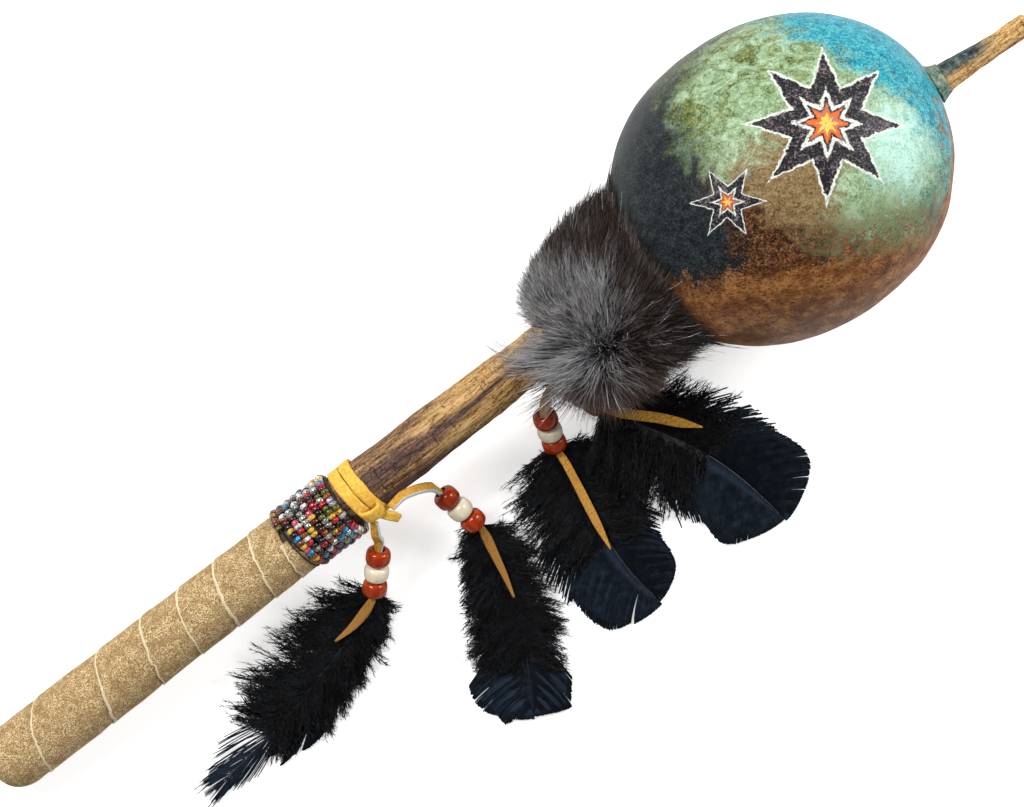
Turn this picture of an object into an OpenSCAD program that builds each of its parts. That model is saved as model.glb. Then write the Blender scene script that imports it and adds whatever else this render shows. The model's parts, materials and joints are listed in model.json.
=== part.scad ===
// Gourd rattle: a painted gourd on a branch, with a leather grip, a seed-bead band,
// a fur collar and four dangles of lace, crow beads and feathers.
// It lies on its belly on z = 0. +X runs along the gourd to the stick's tip, +Z is up.

/* [Stick] */
// Length of the branch from its butt to the gourd
shaft_length = 295; // [270:1:320]
// Length of bare branch past the gourd
tip_length = 36; // [26:1:48]
// Diameter of the branch under the grip
grip_stick_d = 22; // [20:0.5:25]
// Diameter of the branch at the bead band and the lower lace
shaft_d = 20.7; // [18:0.1:21.5]
// Diameter of the branch where it enters the gourd
neck_d = 16; // [13:0.1:18]
// Diameter of the branch where it leaves the gourd
exit_d = 11.6; // [9.5:0.1:13]
// Diameter of the round end of the tip
tip_d = 8.4; // [6:0.1:9]
// Length of the round end of the tip
tip_round_length = 12; // [8:1:16]
// How far the branch bends at the gourd, in degrees
branch_bend = 4.8; // [0:0.1:7]
// How much the branch swells where it bends
neck_swelling = 1.6; // [1:0.1:2.4]

/* [Gourd] */
// Length of the gourd along the stick
gourd_length = 131; // [115:1:145]
// Diameter of the gourd
gourd_d = 112; // [100:1:124]
// Thickness of the gourd's shell
gourd_wall = 5; // [3:0.5:7]
// Depth of the flat that the gourd lies on
rest_flat = 0.5; // [0.3:0.1:1]
// Diameter of the glue round the tip
tip_glue_d = 19; // [16:0.5:24]
// Height of the glue round the tip
tip_glue_height = 3.4; // [2:0.1:5]
// Thickness of the glue where the branch enters the gourd
neck_glue_thick = 1.2; // [0.8:0.1:2]

/* [Pebbles] */
// Diameter of the largest pebble inside the gourd
pebble_d = 7; // [5:0.5:8]
// Distance between pebbles along the wall
pebble_step = 8.4; // [8.2:0.1:9.5]

/* [Grip] */
// Length of the grip from the butt
grip_length = 137.5; // [120:0.5:150]
// Width of the suede strip
strip_width = 17; // [14:0.5:20]
// Gap between two turns of the strip
strip_gap = 0.6; // [0.5:0.1:1.5]
// Thickness of the suede
suede_thick = 1.3; // [1:0.1:1.8]
// Length of the suede that covers the butt
butt_cover_length = 10; // [9.5:0.5:14]
// Rounding of the butt
butt_round = 9; // [6:0.5:9]

/* [Bead band] */
// Length of the leather under the bead band
backing_length = 25.5; // [25:0.5:34]
// Thickness of the leather under the bead band
backing_thick = 0.45; // [0.3:0.05:0.8]
// Diameter of a seed bead
seed_bead_d = 2.6; // [2:0.1:2.7]
// Gap between two turns of the bead strand
seed_gap = 0.45; // [0.41:0.01:0.6]
// Turns of the bead strand
strand_turns = 7.25; // [4:0.25:7.5]

/* [Laces] */
// Width of the deerskin lace
lace_width = 4.4; // [3.5:0.1:5]
// Thickness of the deerskin lace
lace_thick = 1.3; // [1:0.1:1.6]
// Gap between two turns of a lace
lace_gap = 0.5; // [0.42:0.01:1]
// Turns of each lace round the stick
lace_turns = 2; // [1:1:3]
// Length of a lace's knot along the stick
knot_length = 9; // [7:0.5:10]
// Width of a lace's knot round the stick
knot_width = 5.6; // [4:0.1:6]
// Height of a lace's knot
knot_height = 3.4; // [2.5:0.1:4]
// Where the lower knot sits round the stick, in degrees from +Y over the top
lower_knot_angle = 135; // [120:1:150]
// Where the upper knot sits round the stick, in degrees from +Y over the top
upper_knot_angle = 195; // [185:1:205]

/* [Fur] */
// Length of the fur collar behind the gourd
fur_back = 37.5; // [28:0.5:42]
// Length of the fur collar over the gourd's base
fur_front = 14; // [10:1:18]
// Diameter of the fur collar at its widest
fur_d = 72; // [60:1:80]
// Diameter of the fur collar at its back edge
fur_back_d = 44; // [40:1:48]

/* [Dangles] */
// Diameter of a crow bead
crow_d = 9.2; // [8:0.1:9.5]
// Length of a crow bead
crow_length = 6.8; // [5.5:0.1:7]
// Diameter of a crow bead's hole
crow_bore = 4.2; // [3.9:0.1:4.6]
// Gap between crow beads
crow_gap = 0.2; // [0.1:0.05:0.4]
// Diameter of a feather's quill
quill_d = 0.8; // [0.6:0.1:1]
// Thickness of a feather's vane
vane_thick = 0.9; // [0.6:0.1:1.1]

/* [Hidden] */
$fn = 64;
fit = 0.15;
clear = 0.3;
ring_step = 15;
rings_a_turn = 360 / ring_step;
PEBBLES = 8;
DANGLES = ["a", "b", "c", "d"];
BEADS = ["top", "middle", "bottom"];

gourd_r = gourd_d / 2;
gourd_half = gourd_length / 2;
shell_half = gourd_half - gourd_wall;
shell_r = gourd_r - gourd_wall;
grip_stick_r = grip_stick_d / 2;
shaft_r = shaft_d / 2;
neck_r = neck_d / 2;
exit_r = exit_d / 2;
tip_r = tip_d / 2;
swelling_r = neck_r + neck_swelling / 2;
neck_hole_r = swelling_r + neck_glue_thick + 2 * fit;
exit_hole_r = exit_r + 2 * fit;
butt_r = grip_stick_r + fit + suede_thick;

// The rattle rests on the gourd's belly and on the rim of its butt, which sets its tilt
rest_span = shaft_length + gourd_half - butt_round;
function gourd_drop(a) = sqrt(pow(gourd_r * cos(a), 2) + pow(gourd_half * sin(a), 2)) - rest_flat;
function butt_drop(a) = (butt_r - butt_round) * cos(a) + butt_round;
function rest_tilt(a, n) =
    n == 0 ? a : rest_tilt(asin((gourd_drop(a) - butt_drop(a)) / rest_span), n - 1);
tilt = rest_tilt(7, 8);

// The origin is under the middle of the rattle's length
grip_run = cos(tilt) * cos(branch_bend);
reach_tip = (gourd_half + tip_length) * cos(tilt) + tip_r * sin(tilt);
reach_butt = gourd_half * cos(tilt) + (shaft_length - butt_round) * grip_run
    + (butt_r - butt_round) * sqrt(1 - grip_run * grip_run) + butt_round;
gourd_centre = [(reach_butt - reach_tip) / 2, 0, gourd_drop(tilt)];
neck = gourd_centre - gourd_half * [cos(tilt), 0, sin(tilt)];

// Stations along the stick, from the butt
shaft_step = grip_length + 0.5;
band_start = shaft_step + 0.5;
lace_pitch = lace_width + lace_gap;
lace_band = lace_turns * lace_pitch;
lower_lace_start = band_start + backing_length + lace_width / 2 + clear;
taper_start = lower_lace_start + lace_band + lace_width;
upper_lace_start = shaft_length - fur_back + lace_width / 2 + clear;
function shaft_r_at(s) = shaft_r + (neck_r - shaft_r) * (s - taper_start) / (shaft_length - taper_start);

// A wound strip keeps clear of the stick between its rings
function wound_r(inner_r, thick) = (inner_r + fit) / cos(ring_step / 2) + thick / 2;
lower_wrap_r = wound_r(shaft_r, lace_thick);
upper_wrap_r = wound_r(shaft_r_at(upper_lace_start - lace_width), lace_thick);
knot_base = lace_thick / 2 + clear;
wrap_start_angle = -40;

// The place of a point that is given along the grip's axis from the butt
function on_grip_point(p) =
    let (along = (p.x - shaft_length) * cos(tilt) - p.z * sin(tilt))
    let (up = (p.x - shaft_length) * sin(tilt) + p.z * cos(tilt))
    neck + [along * cos(branch_bend) - p.y * sin(branch_bend),
            along * sin(branch_bend) + p.y * cos(branch_bend), up];
function knot_point(station, wrap_r, angle) =
    let (r = wrap_r + knot_base + knot_height / 2)
    on_grip_point([station, r * cos(angle), r * sin(angle)]);
function turns_middle(angle) = (angle - wrap_start_angle) / 360 + (lace_turns - 1) / 2;
lower_knot_station = lower_lace_start + lace_pitch * turns_middle(lower_knot_angle);
upper_knot_station = upper_lace_start + lace_pitch * turns_middle(upper_knot_angle);
lower_knot_place = knot_point(lower_knot_station, lower_wrap_r, lower_knot_angle);
upper_knot_place = knot_point(upper_knot_station, upper_wrap_r, upper_knot_angle);
knot_places = [lower_knot_place, lower_knot_place, upper_knot_place, upper_knot_place];

// Routes of the dangles a, b, c and d. A link's ends are set from its knot. Every other point
// is set from its knot in plan, and from the table in height.
link_from = [[-1.6, -2.7, -3.5], [6.4, -1.6, -0.3], [-5.8, -0.5, -0.9], [-1.9, 1.7, -4.1]];
link_to = [[-4, -7.2, -8.6], [11.2, -0.4, -1.2], [-12.8, -1.1, -3.5], [-10.5, 0.4, -6.5]];
lace_down = [
    [[-4.6, -9.6, 29]],
    [[16.4, -0.9, 38.6], [20.2, -2.2, 34], [22.4, -3.6, 29], [23, -5, 24.8]],
    [[-16.8, -3.3, 33.2], [-20.1, -5.2, 30], [-21.8, -6.9, 28]],
    [[-11.8, 0.5, 31.4], [-12.4, -0.3, 28.8]]
];
beads_from = [[-6.4, -12, 25], [23.6, -6.8, 21], [-23.6, -8.7, 25.6], [-12.2, -3.5, 26]];
beads_to = [[-18, -25.7, 13.8], [28.6, -25, 13], [-26.6, -22.5, 10], [-4, -18.9, 14]];
lace_out = [
    [[-24, -29, 12.4], [-32, -31.5, 10.8], [-40, -32.5, 9.8]],
    [[28.6, -30, 11.8], [27.6, -38, 10.6], [26.4, -47, 9.6], [25, -55, 9]],
    [[-26.6, -27.5, 10.4], [-27.2, -36.5, 9.4], [-28.2, -46.5, 8.4], [-29.2, -56.5, 7.6], [-30, -65.5, 7]],
    [[-1, -22.6, 13.4], [5, -28.2, 13.2], [11.2, -33.5, 12.8], [17.4, -39.7, 12.4], [23.4, -45.5, 12]]
];

// Feathers: points from the knot in plan and from the table in height, with half the vane's width
a_front_vane = [
    [-24, -29.6, 10.2, 2.2], [-30, -32.5, 8.6, 7], [-45, -38, 6.4, 12],
    [-63, -44, 4.4, 13], [-85, -50, 2.6, 9], [-109, -55, 1.6, 3]
];
a_back_vane = [
    [-24, -32, 7.8, 2], [-32.5, -37, 6, 6], [-45.5, -44, 4, 10],
    [-60.5, -51.5, 2.6, 11], [-71.5, -56.5, 1.8, 8], [-78.5, -59, 1.4, 2]
];
b_front_vane = [
    [28.4, -31, 10.3, 2.2], [26.6, -40, 7.8, 8], [24, -52, 5.6, 13],
    [20.6, -66, 4.2, 14.5], [14.6, -81, 3.2, 16], [7.6, -95.5, 2.2, 14]
];
b_back_vane = [
    [26.2, -32, 7, 2], [22.6, -43, 5.4, 7], [16.6, -58, 3.2, 10],
    [8.6, -74, 1.7, 11], [1.6, -86, 1, 10], [-2, -91.5, 0.9, 4]
];
c_vane = [
    [-26.4, -27.5, 8.2, 2.5], [-27, -34.5, 6.8, 9], [-27.8, -43.5, 5.6, 14], [-28.6, -55.5, 4.6, 17],
    [-29, -69.5, 3.4, 17.5], [-27.4, -82.5, 2.2, 17], [-25.2, -92, 1.5, 13]
];
d_vane = [
    [-1.4, -23.8, 11.2, 2.5], [3.2, -30.6, 10.4, 8], [11.4, -42.2, 9, 13], [19.4, -55.2, 6.6, 17],
    [25.4, -69.5, 4.2, 19.5], [29.1, -82.5, 2.4, 20], [31.1, -91.2, 1.6, 14]
];

// Vectors
function unit(v) = v / norm(v);
function from_knot(d, p) = [knot_places[d].x + p.x, knot_places[d].y + p.y, p.z];
function bead_from(d) = from_knot(d, beads_from[d]);
function bead_way(d) = unit(from_knot(d, beads_to[d]) - bead_from(d));
function bead_up(d) = unit([0, 0, 1] - bead_way(d) * bead_way(d).z);
function bead_side(d) = cross(bead_up(d), bead_way(d));
function bead_station(k) = crow_gap + k * (crow_length + crow_gap);
stack_length = bead_station(len(BEADS));

// Sections of a swept solid, in order round it, across and up
function flat_section(w, h) = [[-w, 0], [h - w, -h], [w - h, -h], [w, 0], [w - h, h], [h - w, h]];
function round_section(w, h, sides) = [for (i = [0 : sides - 1])
    [w * cos((i + 0.5) * 360 / sides), h * sin((i + 0.5) * 360 / sides)]];

// Rings of points, one section at each point of a path
function heading(path, i) = unit(path[min(i + 1, len(path) - 1)] - path[max(i - 1, 0)]);
function ring(path, i, up, section) =
    let (ahead = heading(path, i))
    let (side = unit(cross(up, ahead)))
    let (rise = cross(ahead, side))
    [for (q = section) path[i] + side * q.x + rise * q.y];
function rings(path, ups, sections) = [for (i = [0 : len(path) - 1]) ring(path, i, ups[i], sections[i])];

// A solid swept through its rings, with flat ends
module swept(loops) {
    sides = len(loops[0]);
    last = len(loops) - 1;
    walls = [for (i = [0 : last - 1], j = [0 : sides - 1])
        let (k = (j + 1) % sides)
        each [[i * sides + j, (i + 1) * sides + k, i * sides + k],
              [i * sides + j, (i + 1) * sides + j, (i + 1) * sides + k]]];
    first_end = [for (j = [1 : sides - 2]) [0, j, j + 1]];
    last_end = [for (j = [1 : sides - 2]) [last * sides, last * sides + j + 1, last * sides + j]];
    polyhedron([for (l = loops) each l], concat(walls, first_end, last_end));
}

// A strip wound round the grip's axis, in one piece, with a short straight run at each end
function wound_ring(x, r, angle, hand, section, ahead) = [for (q = section)
    [x + hand * q.x, (r + q.y) * cos(angle), (r + q.y) * sin(angle)] + ahead];
function wound_heading(r, pitch, angle, hand) =
    unit([pitch, -hand * 2 * PI * r * sin(angle), hand * 2 * PI * r * cos(angle)]);
function wound_rings(start, r, pitch, turns, angle, hand, section, run) =
    let (last = round(turns * rings_a_turn))
    let (finish_angle = angle + hand * ring_step * last)
    let (finish = start + pitch * last / rings_a_turn)
    concat(
        [wound_ring(start, r, angle, hand, section, -run * wound_heading(r, pitch, angle, hand))],
        [for (k = [0 : last])
            let (x = start + pitch * k / rings_a_turn)
            wound_ring(x, r, angle + hand * ring_step * k, hand, section, [0, 0, 0])],
        [wound_ring(finish, r, finish_angle, hand, section, run * wound_heading(r, pitch, finish_angle, hand))]
    );
function least_gap(loops) = min([for (i = [0 : len(loops) - 1])
    each [for (j = [i + rings_a_turn / 2 : min(i + rings_a_turn * 1.5, len(loops) - 1)])
        each [for (p = loops[i], q = loops[j]) norm(p - q)]]]);

grip_pitch = strip_width + strip_gap;
grip_start = butt_cover_length + strip_width / 2 + 2 * fit;
grip_turns = (grip_length - grip_start - strip_width / 2) / grip_pitch;
grip_rings = wound_rings(grip_start, wound_r(grip_stick_r, suede_thick), grip_pitch, grip_turns, 60, -1,
    flat_section(strip_width / 2, suede_thick / 2), suede_thick);
strand_pitch = seed_bead_d + seed_gap;
backing_r = shaft_r + fit + backing_thick;
strand_start = band_start + (backing_length - strand_turns * strand_pitch) / 2;
strand_rings = wound_rings(strand_start, wound_r(backing_r, seed_bead_d), strand_pitch, strand_turns, 0, 1,
    round_section(seed_bead_d / 2, seed_bead_d / 2, 6), seed_bead_d);
lace_section = flat_section(lace_width / 2, lace_thick / 2);
lower_lace_rings = wound_rings(lower_lace_start, lower_wrap_r, lace_pitch, lace_turns, wrap_start_angle, 1,
    lace_section, lace_thick);
upper_lace_rings = wound_rings(upper_lace_start, upper_wrap_r, lace_pitch, lace_turns, wrap_start_angle, 1,
    lace_section, lace_thick);
echo(grip_wrap_gap = least_gap(grip_rings));
echo(bead_strand_gap = least_gap(strand_rings));
echo(lower_lace_gap = least_gap(lower_lace_rings));
echo(upper_lace_gap = least_gap(upper_lace_rings));

// Places
module on_gourd() {
    translate(gourd_centre)
        rotate([0, -tilt, 0])
            children();
}
module on_grip() {
    translate(neck)
        rotate([0, -tilt, branch_bend])
            translate([-shaft_length, 0, 0])
                children();
}
module at_bead(d, station) {
    way = bead_way(d);
    translate(bead_from(d) + way * station)
        rotate([0, acos(way.z), atan2(way.y, way.x)])
            children();
}
// A solid turned about X, from an outline of radius and place along X
module turned(outline) {
    rotate([0, 90, 0])
        rotate_extrude()
            polygon(outline);
}

// Outline of a gourd's side, from its butt end to its tip end
egg_steps = 40;
function egg(half, r, from, to) = [for (i = [0 : egg_steps])
    let (x = from + (to - from) * (1 - cos(i * 180 / egg_steps)) / 2)
    [r * sqrt(max(0, 1 - pow(x / half, 2))), x]];
function egg_x(half, r, at) = half * sqrt(1 - pow(at / r, 2));

module stick() {
    color("burlywood") {
        on_grip()
            turned([
                [0, suede_thick + fit], [grip_stick_r - butt_round + suede_thick, suede_thick + fit],
                for (a = [15 : 15 : 90])
                    [grip_stick_r - (butt_round - suede_thick) * (1 - sin(a)),
                     butt_round + fit - (butt_round - suede_thick) * cos(a)],
                [grip_stick_r, grip_length], [shaft_r, shaft_step], [shaft_r, taper_start],
                [neck_r, shaft_length], [0, shaft_length]
            ]);
        on_gourd() {
            translate([-gourd_half, 0, 0])
                sphere(r = swelling_r);
            turned([
                [0, -gourd_half], [neck_r, -gourd_half], [exit_r, gourd_half],
                [tip_r, gourd_half + tip_length - tip_round_length],
                [tip_r, gourd_half + tip_length], [0, gourd_half + tip_length]
            ]);
        }
    }
}

module gourd_shell() {
    color("steelblue")
        difference() {
            on_gourd()
                difference() {
                    turned(egg(gourd_half, gourd_r, -gourd_half, gourd_half));
                    turned(egg(shell_half, shell_r, -shell_half, shell_half));
                    translate([-gourd_half - 1, 0, 0])
                        rotate([0, 90, 0])
                            cylinder(h = gourd_half, r = neck_hole_r);
                    rotate([0, 90, 0])
                        cylinder(h = gourd_half + 1, r = exit_hole_r);
                }
            translate([gourd_centre.x - gourd_r, -gourd_r, -gourd_r])
                cube([gourd_d, gourd_d, gourd_r]);
        }
}

// Glue that fillets the tip to the gourd
module tip_glue_ring() {
    glue_r = tip_glue_d / 2;
    steps = 6;
    rim = 0.6;
    color("tan")
        on_gourd()
            turned([
                for (i = [0 : steps])
                    let (r = exit_hole_r + (glue_r - exit_hole_r) * i / steps)
                    [r, egg_x(gourd_half, gourd_r, r) + fit],
                for (i = [steps : -1 : 0])
                    let (r = exit_hole_r + (glue_r - exit_hole_r) * i / steps)
                    [r, egg_x(gourd_half, gourd_r, r) + rim + tip_glue_height * pow(1 - i / steps, 2)]
            ]);
}

// Glue that fills the hole in which the branch enters the gourd
module neck_glue_ring() {
    color("tan")
        on_gourd()
            turned([
                [swelling_r + fit, -egg_x(gourd_half, gourd_r, neck_hole_r) + fit],
                [neck_hole_r - fit, -egg_x(gourd_half, gourd_r, neck_hole_r) + fit],
                [neck_hole_r - fit, -shell_half],
                [swelling_r + fit, -shell_half]
            ]);
}

// Pebbles lie along the lowest line of the shell's inside
function pebble_r(i) = pebble_d / 2 - 0.2 * (i % 3);
pebble_middle = 98;
function pebble_angle(i) = pebble_middle + (i - (PEBBLES + 1) / 2) * asin(pebble_step / shell_half);
module pebble(i) {
    angle = pebble_angle(i);
    wall = [shell_half * cos(angle), shell_r * sin(angle)];
    inward = -unit([cos(angle) / shell_half, sin(angle) / shell_r]);
    place = wall + inward * (pebble_r(i) + clear);
    color("slategray")
        on_gourd()
            translate([place.x, 0, -place.y])
                sphere(r = pebble_r(i));
}

// Suede drawn over the butt
module butt_cap() {
    inner_round = butt_round - suede_thick;
    color("peru")
        on_grip()
            turned([
                [0, 0], [butt_r - butt_round, 0],
                for (a = [15 : 15 : 90])
                    [butt_r - butt_round * (1 - sin(a)), butt_round * (1 - cos(a))],
                [butt_r, butt_cover_length], [grip_stick_r + fit, butt_cover_length],
                for (a = [90 : -15 : 15])
                    [grip_stick_r + fit - inner_round * (1 - sin(a)), butt_round - inner_round * cos(a)],
                [grip_stick_r + fit - inner_round, suede_thick], [0, suede_thick]
            ]);
}

module grip_wrap() {
    color("peru")
        on_grip()
            swept(grip_rings);
}

module bead_band_backing() {
    color("saddlebrown")
        on_grip()
            turned([
                [shaft_r + fit, band_start], [backing_r, band_start],
                [backing_r, band_start + backing_length], [shaft_r + fit, band_start + backing_length]
            ]);
}

module bead_strand() {
    color("turquoise")
        on_grip()
            swept(strand_rings);
}

module lower_lace_wrap() {
    color("goldenrod")
        on_grip()
            swept(lower_lace_rings);
}

module upper_lace_wrap() {
    color("goldenrod")
        on_grip()
            swept(upper_lace_rings);
}

// A knot: a fold of lace that lies along the stick over the turns, domed on top
module knot(station, wrap_r, angle) {
    dome_r = knot_length;
    color("goldenrod")
        on_grip()
            translate([station, 0, 0])
                rotate([angle - 90, 0, 0])
                    translate([0, 0, wrap_r + knot_base])
                        intersection() {
                            translate([-knot_length / 2, -knot_width / 2, 0])
                                cube([knot_length, knot_width, knot_height]);
                            translate([0, 0, knot_height - dome_r])
                                rotate([90, 0, 0])
                                    cylinder(h = knot_width + 1, r = dome_r, center = true);
                        }
}

// Hair stands out from the back edge, swells over the gourd's base and hugs the gourd. Its back
// end is open, with room for the upper lace and its knot.
module fur_collar() {
    fur_r = fur_d / 2;
    back_r = fur_back_d / 2;
    back = -gourd_half - fur_back;
    front = -gourd_half + fur_front;
    bend_room = fur_back * tan(branch_bend);
    lace_room_r = upper_wrap_r + knot_base + knot_height + bend_room + lace_thick + clear;
    lace_room = lace_band + lace_width + 3 * clear;
    step_back = fur_back - lace_room;
    step_r = shaft_r_at(shaft_length - step_back) + step_back * tan(branch_bend) + clear;
    skin = 1.2;
    steps = 6;
    gourd_side = [for (i = [0 : steps]) front + (skin - gourd_half - front) * i / steps];
    color("dimgray")
        on_gourd()
            turned([
                [lace_room_r, back], [back_r, back],
                [back_r + (fur_r - back_r) * 0.5, back + fur_back * 0.28],
                [back_r + (fur_r - back_r) * 0.82, back + fur_back * 0.6],
                [fur_r, back + fur_back],
                [gourd_r * sqrt(1 - pow(front / gourd_half, 2)) + 2, front - skin / 2],
                for (x = gourd_side)
                    [gourd_r * sqrt(1 - pow(x / gourd_half, 2)), x - skin],
                [swelling_r + clear, -gourd_half - skin], [swelling_r + clear, -gourd_half - swelling_r],
                [step_r, back + lace_room], [lace_room_r, back + lace_room]
            ]);
}

// Laces: narrow where they turn, bunched inside the beads, flat where they lie free
turn_w = 1.2;
turn_h = 0.65;
function narrow(s) = round_section(turn_w * s, turn_h * s, 8);
bunched = round_section(1, 0.7, 8);
free_flat = round_section(lace_width / 2 - 0.3, lace_thick / 2, 8);
pointed = round_section(0.8, 0.4, 8);
end_run = 0.8;
turn_room = 1.6;
lace_in_bore = 0.9;
quill_in_bore = 1.1;
quill_apart = 0.9;
function lace_up(way) = abs(unit(way).z) > 0.9 ? [0, -1, 0] : [0, 0, 1];

// The short run of lace that turns at the knot
module lace_link(d) {
    start = knot_places[d] + link_from[d];
    finish = knot_places[d] + link_to[d];
    way = unit(finish - start);
    path = [start - way * end_run, start, (start + finish) / 2, finish - way * turn_room];
    color("goldenrod")
        swept(rings(path, [for (p = path) lace_up(way)],
            [narrow(0.6), narrow(1), narrow(1.2), narrow(1)]));
}

// The rest of a lace: down to the beads, through them and out over the feathers
module lace_tail(d) {
    start = knot_places[d] + link_to[d];
    down = [for (p = lace_down[d]) from_knot(d, p)];
    lift = bead_up(d) * lace_in_bore;
    through = [for (s = [0, 0.5, 1]) bead_from(d) + lift + bead_way(d) * stack_length * s];
    out = [for (p = lace_out[d]) from_knot(d, p)];
    way = unit(down[0] - start);
    path = concat([start - way * end_run, start], down, through, out);
    sections = concat([narrow(0.6), narrow(1)], [for (p = down) narrow(1.4)], [for (p = through) bunched],
        [for (i = [0 : len(out) - 2]) free_flat], [pointed]);
    color("goldenrod")
        swept(rings(path, [for (i = [0 : len(path) - 1]) lace_up(heading(path, i))], sections));
}

module crow_bead(d, k) {
    r = crow_d / 2;
    bore_r = crow_bore / 2;
    round_r = 2;
    lip_r = 0.5;
    color(k == 1 ? "ivory" : "firebrick")
        at_bead(d, bead_station(k))
            rotate_extrude()
                polygon([
                    [bore_r, lip_r], [bore_r + lip_r, 0],
                    for (a = [0 : 15 : 90])
                        [r - round_r * (1 - sin(a)), round_r * (1 - cos(a))],
                    for (a = [90 : -15 : 0])
                        [r - round_r * (1 - sin(a)), crow_length - round_r * (1 - cos(a))],
                    [bore_r + lip_r, crow_length], [bore_r, crow_length - lip_r]
                ]);
}

// A feather: its quill in the lowest bead, beside the lace, and its vane past it
module feather(d, vane, quill_side) {
    quill_place = bead_from(d) - bead_up(d) * quill_in_bore + bead_side(d) * quill_side;
    quill = [for (s = [stack_length - crow_length * 0.8, stack_length]) quill_place + bead_way(d) * s];
    path = concat(quill, [for (p = vane) from_knot(d, p)]);
    sections = concat([for (p = quill) round_section(quill_d / 2, quill_d / 2, 6)],
        [for (p = vane) flat_section(p[3], vane_thick / 2)]);
    color("black")
        swept(rings(path, [for (p = path) [0, 0, 1]], sections));
}

stick();
gourd_shell();
tip_glue_ring();
neck_glue_ring();
for (i = [1 : PEBBLES])
    pebble(i);
butt_cap();
grip_wrap();
bead_band_backing();
bead_strand();
lower_lace_wrap();
knot(lower_knot_station, lower_wrap_r, lower_knot_angle);  // lower_lace_knot
fur_collar();
upper_lace_wrap();
knot(upper_knot_station, upper_wrap_r, upper_knot_angle);  // upper_lace_knot
for (d = [0 : len(DANGLES) - 1]) {
    lace_link(d);
    lace_tail(d);
    for (k = [0 : len(BEADS) - 1])
        crow_bead(d, k);
}
feather(0, a_front_vane, quill_apart);  // feather_a_front
feather(0, a_back_vane, -quill_apart);  // feather_a_back
feather(1, b_front_vane, quill_apart);  // feather_b_front
feather(1, b_back_vane, -quill_apart);  // feather_b_back
feather(2, c_vane, 0);  // feather_c
feather(3, d_vane, 0);  // feather_d
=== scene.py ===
# Gourd rattle: the looks. Lengths are in millimetres until a mesh is made.
import json
import math
from collections import namedtuple

import bpy
import numpy as np
from mathutils import Matrix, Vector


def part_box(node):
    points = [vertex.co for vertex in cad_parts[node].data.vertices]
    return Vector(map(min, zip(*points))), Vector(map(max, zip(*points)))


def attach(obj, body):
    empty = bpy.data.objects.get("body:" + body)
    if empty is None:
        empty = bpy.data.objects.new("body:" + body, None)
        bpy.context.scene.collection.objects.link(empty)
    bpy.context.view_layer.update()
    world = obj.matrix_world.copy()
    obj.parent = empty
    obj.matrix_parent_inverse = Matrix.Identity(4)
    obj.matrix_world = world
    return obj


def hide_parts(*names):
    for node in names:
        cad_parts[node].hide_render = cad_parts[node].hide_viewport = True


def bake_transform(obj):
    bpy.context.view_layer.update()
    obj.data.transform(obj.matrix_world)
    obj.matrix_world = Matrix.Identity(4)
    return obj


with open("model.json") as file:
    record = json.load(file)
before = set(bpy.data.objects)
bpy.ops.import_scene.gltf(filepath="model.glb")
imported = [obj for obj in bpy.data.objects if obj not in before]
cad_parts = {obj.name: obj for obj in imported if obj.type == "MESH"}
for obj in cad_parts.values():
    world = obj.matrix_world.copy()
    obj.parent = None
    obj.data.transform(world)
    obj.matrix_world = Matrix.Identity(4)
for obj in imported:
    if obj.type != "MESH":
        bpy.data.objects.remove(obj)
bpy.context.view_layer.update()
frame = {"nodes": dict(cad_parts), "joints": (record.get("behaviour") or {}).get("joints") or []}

MM = 0.001
UP = np.array([0.0, 0.0, 1.0])

# The photograph looks straight down
IMAGE_WIDTH = 1024
CAMERA_HEIGHT = 1000
CAMERA_FOCAL_PX = 2653
CAMERA_OVER = (4.0, -13.9)
CAMERA_TURN = math.radians(-32.86)
SENSOR_WIDTH = 36

# Sizes of the solids that the looks follow
GOURD_HALF = 65.5
GOURD_R = 56
GOURD_WALL = 5
NECK_HOLE_R = 10.3
EXIT_HOLE_R = 6.1
SHAFT_LENGTH = 295
BRANCH_BEND = math.radians(4.8)
GRIP_LENGTH = 137.5
GRIP_R = 11.15
BAND_START = 138.5
BAND_LENGTH = 25.5
BACKING_R = 10.5
BACKING_THICK = 0.42
STRAND_START = 140.2
STRAND_R = 12.5
STRAND_PITCH = 3.05
STRAND_TURNS = 7.25
SEED_D = 2.6
LACE_WIDTH = 4.4
LACE_THICK = 1.3
LACE_PITCH = 4.9
LACE_TURNS = 2
LACE_START_ANGLE = -40
LOWER_LACE = {"start": 166.5, "r": 11.24, "station": 171.33, "angle": 135}
UPPER_LACE = {"start": 260.0, "r": 9.69, "station": 265.65, "angle": 195}
KNOT_LENGTH = 9
KNOT_HEIGHT = 3.4
FLAP_RINGS = 16
TAPER_START = 180.7
SHAFT_R = 10.35
NECK_R = 8
EXIT_R = 5.8
TIP_R = 4.2
TIP_LENGTH = 36
TIP_ROUND = 12
CROW_D = 9.2
CROW_LENGTH = 6.8
CROW_BORE = 4.2
CROW_GAP = 0.2
STACK_LENGTH = 3 * (CROW_LENGTH + CROW_GAP) + CROW_GAP
PEBBLES = 8
# The least height of soft detail over the table
TABLE_GAP = 0.3

# Places
joints = {j["name"]: j for j in frame["joints"]}


def unit(v):
    return v / np.linalg.norm(v, axis=-1, keepdims=True)


def rise(value, start, span):
    """From 0 at start to 1 a span further on."""
    return np.clip((value - start) / span, 0, 1)


def axes_along(way):
    """Rows of a frame whose X runs along way and whose Y is level."""
    x = unit(np.asarray(way, float))
    y = unit(np.cross(UP, x))
    return np.array([x, y, np.cross(x, y)])


def turn_about_z(v, angle):
    c, s = math.cos(angle), math.sin(angle)
    return np.array([c * v[0] - s * v[1], s * v[0] + c * v[1], v[2]])


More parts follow.
